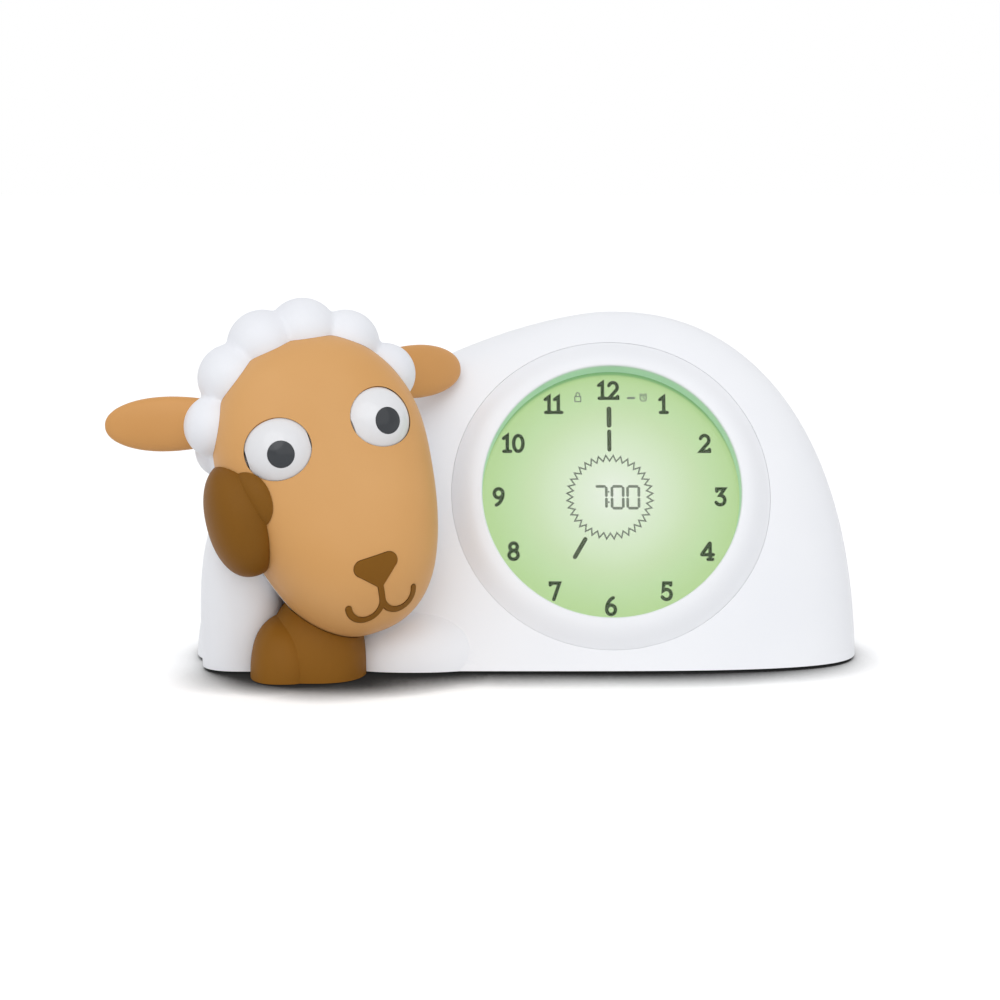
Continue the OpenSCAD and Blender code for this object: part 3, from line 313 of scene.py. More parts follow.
FORELEG_AT = (-38.0, -27.0)
FORELEG_HALF, FORELEG_R = 29.0, 21.0
PROP_AT = (-94.5, -30.0)
PROP_R, PROP_LEAN, PROP_HEIGHT = 14.0, 15.0, 56.0
PROP_POWER = 2.4
HEAD_PLACE = placed((-64.4, -44.0, 62.5), ("Z", 20), ("Y", -15), ("X", -6))
DIAL_TURN = math.pi / 2 - FACE_TILT
FACE_Y = -FRONT_REACH + math.tan(FACE_TILT) * DIAL_Z
DIAL_PLACE = Matrix.Translation((DIAL_X, FACE_Y, DIAL_Z)) @ Matrix.Rotation(DIAL_TURN, 4, "X")
RING_R, RING_BACK = 53.8, 9.0
DIAL_HOLE_R = RING_R + 0.06
COLLAR_R, COLLAR_LOW, FLANGE_R, FLANGE_ROOM = 55.9, 3.7, 55.7, 3.0
HEAD_HALF = 50.0
BROW = (36.0, 24.0, 29.0)
MUZZLE = (30.0, 33.0, 13.0)
HEAD_POWER = 2.6
HEAD_WALL = 2.2
ROOM = 300.0


def half_egg_cuts(x, y, rx, ry, height, power, lean=0.0, low=0.0, sides=96, levels=40):
    """Level cuts of half an egg that stands at a height and may lean forward."""
    cuts = []
    for i in range(levels + 1):
        q = LOFT_END * math.sin(math.pi / 2 * i / levels)
        k = fall(q, power, power)
        cuts.append(level_cut(x - rx * k, x + rx * k, y - lean * q - ry * k, y - lean * q + ry * k,
                              low + q * height, PROP_POWER if lean else power, sides))
    return cuts


def foreleg(grow, low=0.0):
    return loft("foreleg", half_egg_cuts(*FORELEG_AT, FORELEG_HALF + grow, FORELEG_R - 2 + grow,
                                         FORELEG_R + grow, 2.2, low=low))


def prop_leg(grow, low=0.0):
    return loft("prop_leg", half_egg_cuts(*PROP_AT, PROP_R + grow, PROP_R + grow,
                                          PROP_HEIGHT + grow, 2.8, lean=PROP_LEAN, low=low))


def brow_share(u):
    """Share of the brow's girth, against the muzzle's, at a height of -1 to 1."""
    t = min(max((u + 0.7) / 1.2, 0), 1)
    return t * t * (3 - 2 * t)


def head_cuts(grow, sides=192, levels=96):
    """Level cuts of the head in its own frame, from its half width, front depth and rear depth."""
    cuts = []
    for i in range(levels + 1):
        u = LOFT_END * math.sin(math.pi * (i / levels - 0.5))
        k = fall(u, 2.5, 2.2)
        width, front, rear = ((mix(m, b, brow_share(u)) + grow) * k for m, b in zip(MUZZLE, BROW))
        cut = []
        for j in range(sides):
            a = 2 * math.pi * j / sides
            deep = front if a > math.pi else rear
            cut.append((width * signed_power(math.cos(a), 2 / HEAD_POWER),
                        deep * signed_power(math.sin(a), 2 / HEAD_POWER), u * (HEAD_HALF + grow)))
        cuts.append(cut)
    return cuts


def body_tool(grow, low=-1):
    """The body as a tool, from fewer cuts than a skin has."""
    return loft("body_tool", body_cuts(grow, low, 120, 48))


def head_tool(grow, sides=96, levels=48):
    return loft("head_tool", head_cuts(grow, sides, levels), HEAD_PLACE)


front_shell = loft("front_shell_skin", body_cuts(0, RIM_Z))
join_by("UNION", front_shell, [foreleg(0), prop_leg(0)])
join_by("INTERSECT", front_shell, [box_solid(-ROOM, ROOM, -ROOM, SPLIT_Y, RIM_Z, ROOM)])
front_hollow = join_by("UNION", body_tool(-WALL), [foreleg(-WALL, -1), prop_leg(-WALL, -1)])
dial_collar = join_by("INTERSECT", prism("dial_collar", circle(COLLAR_R, 144), -RING_BACK, 60, DIAL_PLACE),
                      [box_solid(-ROOM, ROOM, -ROOM, ROOM, COLLAR_LOW, ROOM)])
join_by("DIFFERENCE", front_hollow, [dial_collar])
join_by("DIFFERENCE", front_shell, [
    front_hollow,
    prism("dial_hole", circle(DIAL_HOLE_R, 256), -RING_BACK - 1, 80, DIAL_PLACE),
    prism("flange_room", circle(FLANGE_R, 144), -RING_BACK - FLANGE_ROOM, -RING_BACK, DIAL_PLACE),
    head_tool(FIT_GAP)])
smooth(front_shell, 28)


def moulded_skin_group():
    """Fine texture of a moulded surface: a slow drift of tone and gloss, and a small grain."""
    group = bpy.data.node_groups.new("moulded_skin", "ShaderNodeTree")
    for label, kind, value in (("Colour", "NodeSocketColor", (0.8, 0.8, 0.8, 1)),
                               ("Deep Colour", "NodeSocketColor", (0.7, 0.7, 0.7, 1)),
                               ("Gloss Low", "NodeSocketFloat", 0.3), ("Gloss High", "NodeSocketFloat", 0.4),
                               ("Drift Scale", "NodeSocketFloat", 18.0),
                               ("Grain Scale", "NodeSocketFloat", 900.0)):
        group.interface.new_socket(name=label, in_out="INPUT", socket_type=kind).default_value = value
    for label, kind in (("Colour", "NodeSocketColor"), ("Roughness", "NodeSocketFloat"),
                        ("Height", "NodeSocketFloat")):
        group.interface.new_socket(name=label, in_out="OUTPUT", socket_type=kind)
    enter = add_node(group, "NodeGroupInput").outputs
    place = add_node(group, "ShaderNodeTexCoord").outputs["Object"]
    drift = add_node(group, "ShaderNodeTexNoise",
                     {"Vector": place, "Scale": enter["Drift Scale"], "Detail": 3})
    grain = add_node(group, "ShaderNodeTexNoise",
                     {"Vector": place, "Scale": enter["Grain Scale"], "Detail": 4, "Roughness": 0.6})
    tone = blend(group, spread(group, drift.outputs["Fac"], 0.3, 0.7), enter["Colour"], enter["Deep Colour"])
    gloss = spread(group, grain.outputs["Fac"], 0.0, 1.0, enter["Gloss Low"], enter["Gloss High"])
    add_node(group, "NodeGroupOutput", {"Colour": tone, "Roughness": gloss, "Height": grain.outputs["Fac"]})
    return group


MOULDED_SKIN = moulded_skin_group()


def new_paint(name):
    """Material, its tree and its shader."""
    paint = bpy.data.materials.new(name)
    paint.use_nodes = True
    return paint, paint.node_tree, paint.node_tree.nodes["Principled BSDF"]


def moulded(name, colour, deep, gloss=(0.34, 0.42), grain=900.0, depth=0.02, drift=18.0,
            metallic=0.0, coat=0.0, specular=0.5, subsurface=0.0):
    """Finish of a moulded or rolled surface, from the group of fine texture."""
    paint, tree, shader = new_paint(name)
    skin = add_node(tree, "ShaderNodeGroup", {
        "Colour": (*colour, 1), "Deep Colour": (*deep, 1), "Gloss Low": gloss[0], "Gloss High": gloss[1],
        "Drift Scale": drift, "Grain Scale": grain}, node_tree=MOULDED_SKIN).outputs
    bump = add_node(tree, "ShaderNodeBump", {"Strength": 1, "Distance": depth * MM, "Height": skin["Height"]})
    set_inputs(tree, shader, {
        "Base Color": skin["Colour"], "Roughness": skin["Roughness"], "Normal": bump.outputs["Normal"],
        "Metallic": metallic, "Coat Weight": coat, "Specular IOR Level": specular,
        "Subsurface Weight": subsurface, "Subsurface Scale": 1.5 * MM})
    return paint


def finish_piece(piece, paint, body, slot, *replaced):
    piece.data.materials.clear()
    piece.data.materials.append(paint)
    if replaced:
        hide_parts(*replaced)
    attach(piece, body)


def paint_nodes(paint, *names):
    for name in names:
        nodes[name].data.materials.clear()
        nodes[name].data.materials.append(paint)


white_satin = moulded("white_satin", (0.868, 0.876, 0.9), (0.84, 0.85, 0.88))
finish_piece(front_shell, white_satin, "clock", "white_shell", "front_shell")

# ---- Ring round the dial ----
# Satin white ring, flush with the dome at its outer edge and rising to a rim round the
# dial. The green light of the display behind the lens is painted on its inner wall, as colour and glow.
DIAL_R = 43.4
RING_RISE = 3.5
RING_SIDES = 288
RING_EDGE, RIM_ROUND, RIM_OUT = 0.18, 0.8, 1.8
RING_SLOPE = ((0.12, 0.13), (0.24, 0.29), (0.36, 0.47), (0.48, 0.63), (0.6, 0.76), (0.72, 0.87), (0.86, 0.95))
LENS_DEPTH = 4.0
RECESS_R = 46.9


def front_y(x, z):
    """Depth of the dome's front at a place across it and a height."""
    x0, x1, y0, y1 = body_reaches(z / DOME_HEIGHT, 0)
    return (y0 + y1) / 2 - (y1 - y0) / 2 * fall((2 * x - x0 - x1) / (x1 - x0), BODY_POWER, BODY_POWER)


def skin_height(x, y):
    """Height of the dome's skin over the dial's plane, at a place on that plane."""
    height = 0.0
    for _ in range(12):
        away = front_y(DIAL_X + x, DIAL_Z + y * math.cos(FACE_TILT) + height * math.sin(FACE_TILT))
        height = (height + (FACE_Y + y * math.sin(FACE_TILT) - away) / math.cos(FACE_TILT)) / 2
    return height


def turn_path(cx, cy, rx, ry, first, last, count):
    """Points along an arc of an ellipse, from one angle to another."""
    turns = [math.radians(first + (last - first) * i / (count - 1)) for i in range(count)]
    return [(cx + rx * math.cos(a), cy + ry * math.sin(a)) for a in turns]


def ring_profile(angle):
    """Radius and height of the ring's section, whose outer edge follows the dome."""
    edge = skin_height(RING_R * math.cos(angle), RING_R * math.sin(angle))
    rim = DIAL_R + RIM_OUT
    profile = [(RING_R, -RING_BACK)]
    profile += turn_path(RING_R - RING_EDGE, edge - RING_EDGE, RING_EDGE, RING_EDGE, 0, 75, 5)
    profile += [(mix(RING_R, rim, t), mix(edge, RING_RISE, s)) for t, s in RING_SLOPE]
    profile += [(rim, RING_RISE - 0.06)]
    profile += turn_path(DIAL_R + RIM_ROUND, RING_RISE - RIM_ROUND, RIM_ROUND, RIM_ROUND, 80, 180, 8)
    return profile + [(DIAL_R, -LENS_DEPTH), (RECESS_R, -LENS_DEPTH), (RECESS_R, -RING_BACK)]


ring_turns = [2 * math.pi * i / RING_SIDES for i in range(RING_SIDES)]
ring_rows = [ring_profile(a) for a in ring_turns]
ring_count = len(ring_rows[0])
ring_points = [(r * math.cos(a), r * math.sin(a), z) for a, row in zip(ring_turns, ring_rows) for r, z in row]
ring_faces = [(i * ring_count + k, (i + 1) % RING_SIDES * ring_count + k,
               (i + 1) % RING_SIDES * ring_count + (k + 1) % ring_count,
               i * ring_count + (k + 1) % ring_count)
              for i in range(RING_SIDES) for k in range(ring_count)]
dial_ring = smooth(mesh_object("dial_ring_skin", ring_points, ring_faces, DIAL_PLACE), 40)

# The ring's inner wall gets the display's green light painted on, as colour and glow, by distance from the
# dial's axis and by height.
PAINTED_WALL_LIGHT, PAINTED_WALL_GLOW = (0.35, 0.63, 0.42, 1), (0.13, 0.2, 0.14, 1)


def from_dial(tree, x=0.0, y=0.0, z=0.0):
    """Place on a surface in the dial's own frame, counted from a point of that frame."""
    return add_node(tree, "ShaderNodeMapping", {
        "Vector": add_node(tree, "ShaderNodeTexCoord").outputs["Object"],
        "Location": (DIAL_PLACE @ Vector((x, y, z))) * MM, "Rotation": (DIAL_TURN, 0, 0)},
        vector_type="TEXTURE").outputs["Vector"]


def reach_of(tree, vector):
    return add_node(tree, "ShaderNodeVectorMath", {0: vector}, operation="LENGTH").outputs["Value"]


ring_white = moulded("ring_white", (0.868, 0.876, 0.9), (0.84, 0.85, 0.88))
ring_tree = ring_white.node_tree
ring_shader = ring_tree.nodes["Principled BSDF"]
ring_tone = ring_shader.inputs["Base Color"].links[0].from_socket
ring_parts = add_node(ring_tree, "ShaderNodeSeparateXYZ", {"Vector": from_dial(ring_tree)}).outputs
ring_flat = add_node(ring_tree, "ShaderNodeCombineXYZ", {"X": ring_parts["X"], "Y": ring_parts["Y"]})
ring_reach = reach_of(ring_tree, ring_flat.outputs["Vector"])
# Painted light: mask of the display's green light and glow on the ring's inner wall.
ring_painted_light = maths(
    ring_tree, "MULTIPLY", spread(ring_tree, ring_reach, (DIAL_R + 0.35) * MM, (DIAL_R + 0.05) * MM),
    spread(ring_tree, ring_parts["Z"], (RING_RISE + 0.5) * MM, (RING_RISE - 1.6) * MM))
set_inputs(ring_tree, ring_shader, {
    "Base Color": blend(ring_tree, ring_painted_light, ring_tone, PAINTED_WALL_LIGHT),
    "Emission Color": blend(ring_tree, ring_painted_light, BLACK, PAINTED_WALL_GLOW), "Emission Strength": 1})
finish_piece(dial_ring, ring_white, "clock", "white_shell", "bezel_ring")

# ---- Lens, display glass and the printed dial ----
# A clear acrylic lens stands in front of a square liquid-crystal glass, lit from behind in
# green and fading to nearly white in the middle. The print on it is dark green and grey.
GLASS_FRONT = 5.6
lens_clear, lens_tree, lens_shader = new_paint("clear_lens")
lens_haze = add_node(lens_tree, "ShaderNodeTexNoise", {
    "Vector": add_node(lens_tree, "ShaderNodeTexCoord").outputs["Object"], "Scale": 60})
set_inputs(lens_tree, lens_shader, {
    "Base Color": WHITE, "Transmission Weight": 1, "IOR": 1.2,
    "Roughness": spread(lens_tree, lens_haze.outputs["Fac"], 0.0, 1.0, 0.0, 0.03)})
paint_nodes(lens_clear, "dial_lens")

GLOW_REACH = 48.0
DISPLAY_TONES = ((0.02, (0.76, 0.81, 0.72, 1)), (0.145, (0.7, 0.785, 0.635, 1)),
                 (0.437, (0.588, 0.721, 0.482, 1)), (0.603, (0.514, 0.668, 0.381, 1)),
                 (0.728, (0.463, 0.646, 0.332, 1)), (0.885, (0.42, 0.61, 0.27, 1)))
# Painted shade of the ring on the top of the glass, as a thin dark crescent in its glow.
SHADE_TONES = ((0.0, (0.3, 0.5, 0.22, 0.0)), (0.28, (0.28, 0.48, 0.2, 0.1)), (0.6, (0.19, 0.4, 0.16, 0.9)),
               (1.0, (0.17, 0.38, 0.16, 1.0)))


def tone_ramp(tree, factor, tones):
    """Outputs of a ramp through stops of a place and a colour."""
    ramp = add_node(tree, "ShaderNodeValToRGB", {"Fac": factor})
    stops = ramp.color_ramp.elements
    while len(stops) < len(tones):
        stops.new(0.5)
    for stop, (place, colour) in zip(stops, tones):
        stop.position = place
        stop.color = colour
    return ramp.outputs


display_lit, display_tree, display_shader = new_paint("lit_display")
display_cloud = add_node(display_tree, "ShaderNodeTexNoise", {
    "Vector": add_node(display_tree, "ShaderNodeTexCoord").outputs["Object"], "Scale": 35})
display_out = spread(display_tree, reach_of(display_tree, from_dial(display_tree, 1, 1, -GLASS_FRONT)),
                     0.0, GLOW_REACH * MM)
display_mottled = maths(display_tree, "MULTIPLY_ADD", display_cloud.outputs["Fac"], 0.04, display_out)
display_green = tone_ramp(display_tree, display_mottled, DISPLAY_TONES)
# Painted shade: crescent mask from a circle set a little low on the glass.
crescent_reach = reach_of(display_tree, from_dial(display_tree, 0, -1.3, -GLASS_FRONT))
crescent_shade_mask = spread(display_tree, crescent_reach, (DIAL_R - 0.4) * MM, (DIAL_R + 1.6) * MM)
display_shade = tone_ramp(display_tree, crescent_shade_mask, SHADE_TONES)
set_inputs(display_tree, display_shader, {
    "Base Color": (0.03, 0.04, 0.03, 1), "Specular IOR Level": 0.15, "Emission Strength": 1,
    "Emission Color": blend(display_tree, display_shade["Alpha"], display_green["Color"],
                            display_shade["Color"])})
paint_nodes(display_lit, "display_holder")

GLASS_HALF, GLASS_T, GLASS_R = 35.0, 2.2, 46.0
FILM_R, FILM_FRONT, FILM_BACK = 46.4, 0.006, 0.002
display_pane = box_solid(-GLASS_HALF, GLASS_HALF, -GLASS_HALF, GLASS_HALF, -GLASS_FRONT - GLASS_T,
                         -GLASS_FRONT + FILM_FRONT / 2, DIAL_PLACE)
join_by("INTERSECT", display_pane, [prism("pane_round", circle(GLASS_R, 192), -10, 0, DIAL_PLACE)])
display_panel = join_by("UNION", prism("display_film", circle(FILM_R, 192), -GLASS_FRONT - FILM_BACK,
                                       -GLASS_FRONT + FILM_FRONT, DIAL_PLACE), [display_pane])
finish_piece(smooth(display_panel), display_lit, "clock", "display", "display_glass")

PRINT_NEAR, PRINT_FAR = -GLASS_FRONT + 0.045, -GLASS_FRONT + 0.01
PRINT_PLACE = DIAL_PLACE @ Matrix.Translation((-0.3, -0.35, 0))


def ribbon(points, half, closed=False, caps=6):
    """Outline of a pen stroke: one loop for an open stroke, outer and inner for a closed one."""
    count = len(points)
    left, right = [], []
    for i, p in enumerate(points):
        before = points[(i - 1) % count] if closed or i else p
        after = points[(i + 1) % count] if closed or i < count - 1 else p
        ins = Vector((p[0] - before[0], p[1] - before[1]))
        out = Vector((after[0] - p[0], after[1] - p[1]))
        ins = ins.normalized() if ins.length else out.normalized()
        out = out.normalized() if out.length else ins
        bisect = (ins + out).normalized()
        side = Vector((-bisect.y, bisect.x)) * (half / max(bisect.dot(ins), 0.25))
        left.append((p[0] + side.x, p[1] + side.y))
        right.append((p[0] - side.x, p[1] - side.y))
    if closed:
        return left, right
    ends = []
    for end, other in ((points[-1], points[-2]), (points[0], points[1])):
        start = math.atan2(end[1] - other[1], end[0] - other[0]) + math.pi / 2
        ends.append([(end[0] + half * math.cos(start - math.pi * k / caps),
                      end[1] + half * math.sin(start - math.pi * k / caps)) for k in range(1, caps)])
    return (left + ends[0] + right[::-1] + ends[1],)


def stroke_solid(points, half, closed=False):
    """Points and faces of one printed stroke, as a thin closed solid."""
    loops = ribbon(points, half, closed)
    made_points = [(x, y, z) for z in (PRINT_FAR, PRINT_NEAR) for loop in loops for x, y in loop]
    n = len(loops[0])
    if not closed:
        return made_points, ([tuple(range(n)), tuple(range(n, 2 * n))]
                             + [(j, (j + 1) % n, n + (j + 1) % n, n + j) for j in range(n)])
    made_faces = []
    for j in range(n):
        k = (j + 1) % n
        made_faces += [(j, k, n + k, n + j), (2 * n + j, 3 * n + j, 3 * n + k, 2 * n + k),
                       (j, 2 * n + j, 2 * n + k, k), (n + j, n + k, 3 * n + k, 3 * n + j)]
    return made_points, made_faces


def print_object(name, strokes):
    """One mesh from many strokes, with those that cross merged."""
    points, faces = [], []
    for stroke_points, stroke_faces in strokes:
        base = len(points)
        points += stroke_points
        faces += [tuple(base + k for k in face) for face in stroke_faces]
    made = mesh_object(name, points, faces, PRINT_PLACE)
    away = box_solid(-500, -499, 0, 1, 0, 1)
    change = made.modifiers.new("merge", "BOOLEAN")
    change.operation = "DIFFERENCE"
    change.solver = "EXACT"
    change.use_self = True
    change.object = away
    applied(made)
    bpy.data.objects.remove(away)
    return smooth(made)


# Slab figures in a box one high: each entry is a list of strokes, a stroke is its points and
# whether it closes on itself.
FIGURES = {
    "0": [(turn_path(0.31, 0.5, 0.25, 0.44, 0, 348, 30), True)],
    "1": [([(0.02, 0.78), (0.22, 0.93), (0.22, 0.06)], False), ([(0.04, 0.06), (0.4, 0.06)], False)],
    "2": [(turn_path(0.29, 0.68, 0.23, 0.26, 160, -35, 14)
           + [(0.07, 0.06), (0.54, 0.06), (0.54, 0.16)], False)],
    "3": [([(0.09, 0.82), (0.09, 0.94), (0.5, 0.94), (0.26, 0.59)]
           + turn_path(0.26, 0.33, 0.25, 0.26, 80, -150, 16), False)],
    "4": [([(0.46, 0.06), (0.46, 0.93)], False), ([(0.44, 0.93), (0.02, 0.33)], False),
          ([(0.02, 0.31), (0.62, 0.31)], False), ([(0.34, 0.06), (0.58, 0.06)], False)],
    "5": [([(0.5, 0.84), (0.5, 0.94), (0.14, 0.94), (0.11, 0.54)]
           + turn_path(0.27, 0.33, 0.25, 0.27, 118, -150, 18), False)],
    "6": [(turn_path(0.3, 0.3, 0.23, 0.25, 0, 348, 26), True),
          ([(0.07, 0.31), (0.09, 0.5), (0.16, 0.68), (0.28, 0.85), (0.42, 0.94)], False)],
    "7": [([(0.04, 0.84), (0.04, 0.94), (0.52, 0.94), (0.22, 0.06)], False)],
    "8": [(turn_path(0.3, 0.29, 0.24, 0.23, 0, 348, 26), True),
          (turn_path(0.3, 0.74, 0.2, 0.2, 0, 348, 24), True)],
    "9": [(turn_path(0.3, 0.7, 0.23, 0.25, 0, 348, 26), True),
          ([(0.53, 0.69), (0.51, 0.5), (0.44, 0.32), (0.32, 0.15), (0.18, 0.06)], False)],
}
FIGURE_WIDTH, FIGURE_USUAL, FIGURE_SPACE = {"1": 0.46, "7": 0.56}, 0.62, 0.04
FIGURE_HEIGHT, FIGURE_RADIUS, FIGURE_PEN = 6.35, 37.6, 0.6
numeral_strokes = []
for hour in range(1, 13):
    label = str(hour)
    widths = [FIGURE_WIDTH.get(c, FIGURE_USUAL) for c in label]
    total = sum(widths) + FIGURE_SPACE * (len(label) - 1)
    angle = math.radians(90 - 30 * hour)
    x = FIGURE_RADIUS * math.cos(angle) - total / 2 * FIGURE_HEIGHT
    y = FIGURE_RADIUS * math.sin(angle) - FIGURE_HEIGHT / 2
    for c, w in zip(label, widths):
        for path, closed in FIGURES[c]:
            numeral_strokes.append(stroke_solid([(x + px * FIGURE_HEIGHT, y + py * FIGURE_HEIGHT)
                                                 for px, py in path], FIGURE_PEN, closed))
        x += (w + FIGURE_SPACE) * FIGURE_HEIGHT
dial_numerals = print_object("dial_numerals", numeral_strokes)

# The seven-part digits of the time, their colon and the zigzag that rings them.
ZIGZAG_TEETH, ZIGZAG_OUT, ZIGZAG_IN, ZIGZAG_PEN = 36, 14.6, 12.6, 0.25
zigzag = [(ZIGZAG_OUT if i % 2 else ZIGZAG_IN, math.pi * i / ZIGZAG_TEETH) for i in range(2 * ZIGZAG_TEETH)]
segment_strokes = [stroke_solid([(r * math.cos(a), r * math.sin(a)) for r, a in zigzag], ZIGZAG_PEN, True)]
SEGMENTS = {"7": "abc", "0": "abcdef"}
DIGIT_W, DIGIT_H, DIGIT_PEN, DIGIT_CUT, DIGIT_LOW = 3.8, 7.6, 0.46, 0.6, -3.9
COLON_X, COLON_HALF, COLON_PEN = -0.4, 1.8, 0.3


def digit_segments(figure, x, y):
    """Strokes of one digit, whose parts a to f run clockwise from its top."""
    w, h, cut = DIGIT_W, DIGIT_H, DIGIT_CUT
    ends = {"a": ((cut, h), (w - cut, h)), "b": ((w, h - cut), (w, h / 2 + cut)),
            "c": ((w, h / 2 - cut), (w, cut)), "d": ((cut, 0), (w - cut, 0)),
            "e": ((0, h / 2 - cut), (0, cut)), "f": ((0, h - cut), (0, h / 2 + cut))}
    return [stroke_solid([(x + px, y + py) for px, py in ends[s]], DIGIT_PEN) for s in SEGMENTS[figure]]


for figure, x in (("7", -5.0), ("0", 0.7), ("0", 6.0)):
    segment_strokes += digit_segments(figure, x, DIGIT_LOW)
for y in (-COLON_HALF, COLON_HALF):
    segment_strokes.append(stroke_solid([(COLON_X, y - 0.01), (COLON_X, y + 0.01)], COLON_PEN))
time_segments = print_object("time_segments", segment_strokes)

# The two parts of the minute bar, which points at twelve, and the hour bar, which points at seven.
BAR_PEN = 0.82
hour_way = math.radians(90 - 30 * 7)
time_bars = print_object("time_bars", [
    stroke_solid([(0, 31.0), (0, 25.2)], BAR_PEN), stroke_solid([(0, 23.0), (0, 16.6)], BAR_PEN * 0.85),
    stroke_solid([(reach * math.cos(hour_way), reach * math.sin(hour_way)) for reach in (16.9, 24.0)],
                 BAR_PEN * 0.9)])

# Small pale signs beside the twelve: a lock, a bell clock and a dash.
SIGN_PEN, DASH_PEN = 0.2, 0.42
dial_signs = print_object("dial_signs", [
    stroke_solid([(-11.6, 33.6), (-11.6, 35.4), (-9.6, 35.4), (-9.6, 33.6)], SIGN_PEN, True),
    stroke_solid([(-11.2, 35.4)] + turn_path(-10.6, 36.1, 0.6, 0.7, 180, 0, 7) + [(-10.0, 35.4)], SIGN_PEN),
    stroke_solid(turn_path(11.8, 34.9, 1.1, 1.1, 0, 345, 18), SIGN_PEN, True),
    stroke_solid([(11.8, 35.6), (11.8, 34.9), (12.3, 34.6)], SIGN_PEN),
    stroke_solid([(10.6, 36.0), (11.1, 36.4)], SIGN_PEN),
    stroke_solid([(12.5, 36.4), (13.0, 36.0)], SIGN_PEN),
    stroke_solid([(6.6, 34.9), (8.6, 34.9)], DASH_PEN)])

for piece, ink, tone, deep in (
        (dial_numerals, "figure_ink", (0.029, 0.055, 0.018), (0.04, 0.07, 0.026)),
        (time_bars, "bar_ink", (0.055, 0.082, 0.038), (0.075, 0.105, 0.055)),
        (time_segments, "segment_ink", (0.15, 0.185, 0.135), (0.19, 0.23, 0.17)),
        (dial_signs, "sign_ink", (0.2, 0.26, 0.19), (0.24, 0.3, 0.22))):
    finish_piece(piece, moulded(ink, tone, deep, (0.6, 0.7), 1500, specular=0.1), "clock", "black_plastic")

# ---- Inside of the dial ----
# Opal diffuser, white light box, and a green board with its ring of light-emitting diodes.
inner_white = moulded("inner_white", (0.74, 0.74, 0.73), (0.68, 0.68, 0.67), (0.5, 0.6), 600, 0.03)
opal = moulded("opal_diffuser", (0.8, 0.88, 0.76), (0.76, 0.85, 0.72), (0.4, 0.5), 400, 0.02, subsurface=0.2)
board_green = moulded("board_green", (0.02, 0.16, 0.07), (0.012, 0.11, 0.05), (0.3, 0.45), 250, 0.04,
                      drift=90.0)
led_clear = moulded("led_clear", (0.85, 0.87, 0.6), (0.8, 0.82, 0.55), (0.1, 0.2), 1200)
black_moulded = moulded("black_moulded", (0.018, 0.018, 0.02), (0.03, 0.03, 0.032), (0.4, 0.55), 700, 0.03)
bright_metal = moulded("bright_metal", (0.62, 0.62, 0.63), (0.5, 0.5, 0.52), (0.25, 0.4), 800, 0.01,
                       metallic=1.0)
paint_nodes(opal, "light_diffuser")
paint_nodes(inner_white, "light_box", "neck_collar", "neck_nut", "eye_bracket", "eye_core_left",
            "eye_core_right", "lid_pinion_left", "lid_pinion_right", "battery_box")
paint_nodes(board_green, "led_board", "main_board", "button_board", "light_board")
paint_nodes(led_clear, "leds")
paint_nodes(black_moulded, "main_board_chips", "tact_switches", "speaker_basket", "power_socket")
paint_nodes(bright_metal, "light_box_screws", "eye_bracket_screws", "lid_motors", "battery_contacts",
            "base_screws")

# ---- Face of the lamb ----
# A tan moulded mask, the front half of the head, with two round sockets for the eyes and a
# shallow recess for the nose and mouth inlay.
EYE_AT = (15.8, -14.7, 17.0)
EYE_TOE = 12
EYE_R = 12.0
NOSE_Z = -25.0
NOSE_HALF = 4.5
NOSE_ROUND = 2.8
MOUTH_R = 5.6
MOUTH_DROP = 11.5
MOUTH_PEN = 0.9
MASK_SKIN = (0.69, 0.375, 0.14)


def eye_place(side):
    turn = Matrix.Diagonal((-1, 1, 1, 1)) if side < 0 else Matrix.Identity(4)
    return HEAD_PLACE @ turn @ placed(EYE_AT, ("Z", EYE_TOE))


def ball(name, radius, place, columns=96, rows=48):
    points, faces = [], []
    for i in range(1, rows):
        for j in range(columns):
            up, turn = math.pi * i / rows, 2 * math.pi * j / columns
            points.append((radius * math.sin(up) * math.cos(turn), radius * math.sin(up) * math.sin(turn),
                           radius * math.cos(up)))
    points += [(0, 0, radius), (0, 0, -radius)]
    top, bottom = len(points) - 2, len(points) - 1
    for j in range(columns):
        k = (j + 1) % columns
        faces += [(top, j, k), (bottom, (rows - 2) * columns + k, (rows - 2) * columns + j)]
        faces += [(i * columns + j, (i + 1) * columns + j, (i + 1) * columns + k, i * columns + k)
                  for i in range(rows - 2)]
    return mesh_object(name, points, faces, place)


def mouth_solid(grow):
    """Small nose, stem and the two short arcs of the mouth, drawn straight through the muzzle."""
    place = HEAD_PLACE @ Matrix.Rotation(math.pi / 2, 4, "X") @ Matrix.Translation((0, NOSE_Z, 0))
    pen = MOUTH_PEN + grow
    wide = NOSE_HALF + NOSE_ROUND * 0.8 + grow
    outlines = [circle(NOSE_ROUND + grow, 64, side * NOSE_HALF, 0) for side in (-1, 1)]
    outlines += [ribbon(turn_path(side * MOUTH_R, -MOUTH_DROP, MOUTH_R, MOUTH_R, 180, 360, 40), pen)[0]
                 for side in (-1, 1)]
    outlines += [[(-wide, -NOSE_ROUND * 0.6), (wide, -NOSE_ROUND * 0.6), (pen, -NOSE_HALF - NOSE_ROUND),
                  (-pen, -NOSE_HALF - NOSE_ROUND)],
                 rectangle(-NOSE_HALF, NOSE_HALF, -NOSE_ROUND * 0.7, NOSE_ROUND + grow),
                 rectangle(-pen, pen, -MOUTH_DROP - 0.5, -1)]
    parts = [prism("mouth_part", outline, 8 + 0.1 * k, 48 + 0.1 * k, place)
             for k, outline in enumerate(outlines)]
    return join_by("UNION", parts[0], parts[1:])


def head_side(front, rear):
    """Block between two planes across the head, to keep one half of it."""
    return box_solid(-99, 99, front, rear, -99, 99, HEAD_PLACE)


